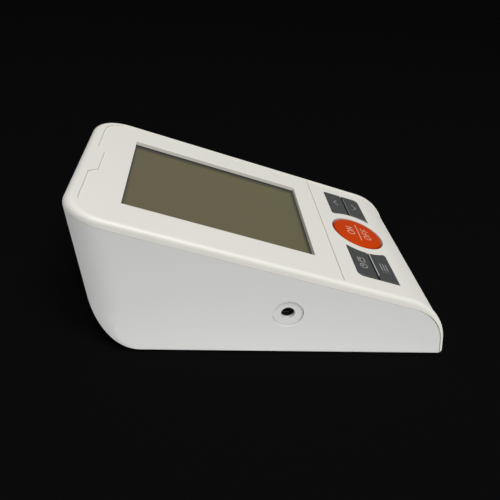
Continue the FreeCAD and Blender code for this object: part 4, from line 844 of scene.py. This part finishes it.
# a dark grey band that darkens the window's edge
dark_band = moulded("Dark grey band under the lens edge", "46443a", "49473d", roughness=0.6,
                    grain_rise=0.002)
lens_low, lens_high = deck_extent("display_lens")
lens, middle = lens_high - lens_low, (lens_high + lens_low) / 2
mask_width = LENS_BORDER + MASK_SHOWS
mask = grow("lens_mask", stroke_mesh("lens_mask", []), frame_tree(dark_band),
            {"Length": (lens.x - mask_width) * MM, "Breadth": (lens.y - mask_width) * MM,
             "Width": mask_width * MM, "Thickness": INK_THICK * MM})
place_on_deck(mask, middle.x, middle.y, lens_low.z - INK_THICK / 2 - MASK_CLEAR)
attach(mask, "case")
print("lens_mask", len(mask.data.polygons), "faces")

# %% [markdown]
# ## Legs of the chip
# The controller is a flat package with legs of tinned copper on all four sides, bent down to the
# board and out. One leg is drawn as a bent line; the tree sweeps it, repeats it along a side and
# turns the side three more times.

# %% Chip legs
LEG_COUNT, LEG_PITCH, LEG_WIDTH, LEG_THICK = 12, 0.8, 0.35, 0.15
LEG_BENDS = ((0.0, 0.5), (0.35, 0.5), (0.6, 0.0), (1.2, 0.0))   # out; share of the chip's height


def legs_tree(tin):
    tree, given = start_tree("Legs around a chip", {"Count": "Int", "Pitch": "Float",
                                                    "Reach": "Float", "Width": "Float",
                                                    "Thickness": "Float"})
    line_of_leg = add(tree, "GeometryNodeMeshToCurve", {0: given["Geometry"]})
    level = add(tree, "GeometryNodeSetCurveNormal", {0: line_of_leg.outputs[0]}, mode="Z_UP")
    bar = add(tree, "GeometryNodeCurvePrimitiveQuadrilateral", {0: given["Width"],
                                                               1: given["Thickness"]})
    leg = add(tree, "GeometryNodeCurveToMesh", {"Curve": level.outputs[0],
                                                "Profile Curve": bar.outputs[0],
                                                "Fill Caps": True})
    gaps = maths(tree, "SUBTRACT", given["Count"], 1.0)
    half = maths(tree, "MULTIPLY", maths(tree, "MULTIPLY", gaps, given["Pitch"]), -0.5)
    start = add(tree, "ShaderNodeCombineXYZ", {0: half, 1: given["Reach"]})
    step = add(tree, "ShaderNodeCombineXYZ", {0: given["Pitch"]})
    places = add(tree, "GeometryNodeMeshLine", {"Count": given["Count"],
                                                "Start Location": start.outputs[0],
                                                "Offset": step.outputs[0]})
    side = add(tree, "GeometryNodeInstanceOnPoints", {"Points": places.outputs[0],
                                                      "Instance": leg.outputs[0]})
    all_sides = add(tree, "GeometryNodeJoinGeometry")
    for quarter in range(4):
        turned = add(tree, "GeometryNodeTransform", {0: side.outputs[0],
                                                     "Rotation": (0, 0, quarter * math.pi / 2)})
        tree.links.new(turned.outputs[0], all_sides.inputs[0])
    close_tree(tree, all_sides.outputs[0], tin)
    return tree


tinned = metal("Copper, tinned, dull", "b4b3ae", "a8a7a2", 0.4, line_mm=0.8)
chip_low, chip_high = deck_extent("microcontroller")
chip, middle = chip_high - chip_low, (chip_high + chip_low) / 2
bent = bpy.data.meshes.new("chip_legs")
bent.from_pydata([(0, out * MM, -(share * chip.z + LEG_THICK / 2) * MM)
                  for out, share in LEG_BENDS],
                 [(i, i + 1) for i in range(len(LEG_BENDS) - 1)], [])
legs = grow("chip_legs", bent, legs_tree(tinned),
            {"Count": LEG_COUNT, "Pitch": LEG_PITCH * MM, "Reach": chip.x / 2 * MM,
             "Width": LEG_WIDTH * MM, "Thickness": LEG_THICK * MM})
place_on_deck(legs, middle.x, middle.y, chip_high.z)
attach(legs, "case")
print("chip_legs", len(legs.data.polygons), "faces")

# %% [markdown]
# ## Solder joints
# Each wire and each leg that goes through the board ends in a small cone of solder on its upper
# face. The tree sets one flattened ball on each point; the lower half sinks into the board.

# %% Solder joints
JOINT_RADIUS, JOINT_HEIGHT = 0.9, 0.7
CAPACITOR_LEGS, BUZZER_LEGS, SENSOR_LEGS = 1.25, 3.2, 2.54      # from the middle, or between rows
LEAD_TOP = 0.5                             # the end of a lead, for finding where it is soldered


def joints_tree(solder):
    tree, given = start_tree("Solder joints", {"Radius": "Float", "Height": "Float"})
    ball = add(tree, "GeometryNodeMeshIcoSphere", {"Radius": 1.0, "Subdivisions": 3})
    smooth = add(tree, "GeometryNodeSetShadeSmooth", {0: ball.outputs[0]})
    size = add(tree, "ShaderNodeCombineXYZ", {0: given["Radius"], 1: given["Radius"],
                                              2: given["Height"]})
    joints = add(tree, "GeometryNodeInstanceOnPoints", {
        "Points": given["Geometry"], "Instance": smooth.outputs[0], "Scale": size.outputs[0]})
    close_tree(tree, joints.outputs[0], solder)
    return tree


def lead_ends(node):
    """Where the two wires of a node meet the board, as (across, up)."""
    top = deck_extent(node)[1].z - LEAD_TOP
    ends = [(v.co.x / MM, v.co.dot(UP_SLOPE) / MM) for v in nodes[node].data.vertices
            if v.co.dot(OUT) / MM > top]
    middle_up = (min(up for _, up in ends) + max(up for _, up in ends)) / 2
    wires = [[end for end in ends if (end[1] > middle_up) == far] for far in (False, True)]
    return [tuple(sum(c) / len(wire) for c in zip(*wire)) for wire in wires]


def through_holes():
    places = [end for node in ("battery_leads", "pump_leads", "jack_leads")
              for end in lead_ends(node)]
    low, high = deck_extent("capacitors")
    radius, middle = (high.y - low.y) / 2, (high.y + low.y) / 2
    for x in (low.x + radius, (low.x + high.x) / 2, high.x - radius):
        places += [(x - CAPACITOR_LEGS, middle), (x + CAPACITOR_LEGS, middle)]
    at = deck_middle("buzzer")
    places += [(at.x - BUZZER_LEGS, at.y), (at.x + BUZZER_LEGS, at.y)]
    at = deck_middle("pressure_sensor")
    places += [(at.x + side * SENSOR_LEGS, at.y + row * SENSOR_LEGS)
               for side in (-1, 1) for row in (-1, 0, 1)]
    return places


solder = moulded("Solder, tin-copper", "bfbfbb", "aeaeaa", roughness=0.3, grain_mm=0.5,
                 grain_rise=0.02, drift_mm=1.5, Metallic=1.0)
holes = bpy.data.meshes.new("solder_joints")
holes.from_pydata([(x * MM, y * MM, 0) for x, y in through_holes()], [], [])
joints = grow("solder_joints", holes, joints_tree(solder),
              {"Radius": JOINT_RADIUS * MM, "Height": JOINT_HEIGHT * MM})
place_on_deck(joints, 0, 0, deck_extent("main_board")[1].z)
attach(joints, "case")
print("solder_joints", len(joints.data.polygons), "faces")

# %% [markdown]
# ## Rules on the label
# The label under the monitor is left without words. It keeps the thin printed rules that divide
# such a label into fields.

# %% Label rules
RULE_WIDTH, RULE_EDGE = 0.25, 1.5          # millimetres
FIELD_ROWS = (-3.0, 1.0, 5.0)              # along the label, from its middle
FIELD_SPLIT = 6.0                          # across it

label_low, label_high = (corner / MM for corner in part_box("rating_label"))
half = (label_high - label_low) / 2
edge_x, edge_y = half.x - RULE_EDGE, half.y - RULE_EDGE
rules = [line(-edge_x, y, edge_x, y) for y in (-edge_y, *FIELD_ROWS, edge_y)]
rules += [line(x, -edge_y, x, edge_y) for x in (-edge_x, edge_x)]
rules += [line(FIELD_SPLIT, -edge_y, FIELD_SPLIT, FIELD_ROWS[0])]
label_print = grow("label_rules", stroke_mesh("label_rules", rules), grey_strokes,
                   {"Width": RULE_WIDTH * MM, "Thickness": INK_THICK * MM, "Step": edge_x * MM})
middle = (label_low + label_high) / 2
for vertex in label_print.data.vertices:
    vertex.co += Vector((middle.x, middle.y, label_low.z - INK_THICK / 2)) * MM
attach(label_print, "case")
print("label_rules", len(label_print.data.polygons), "faces")
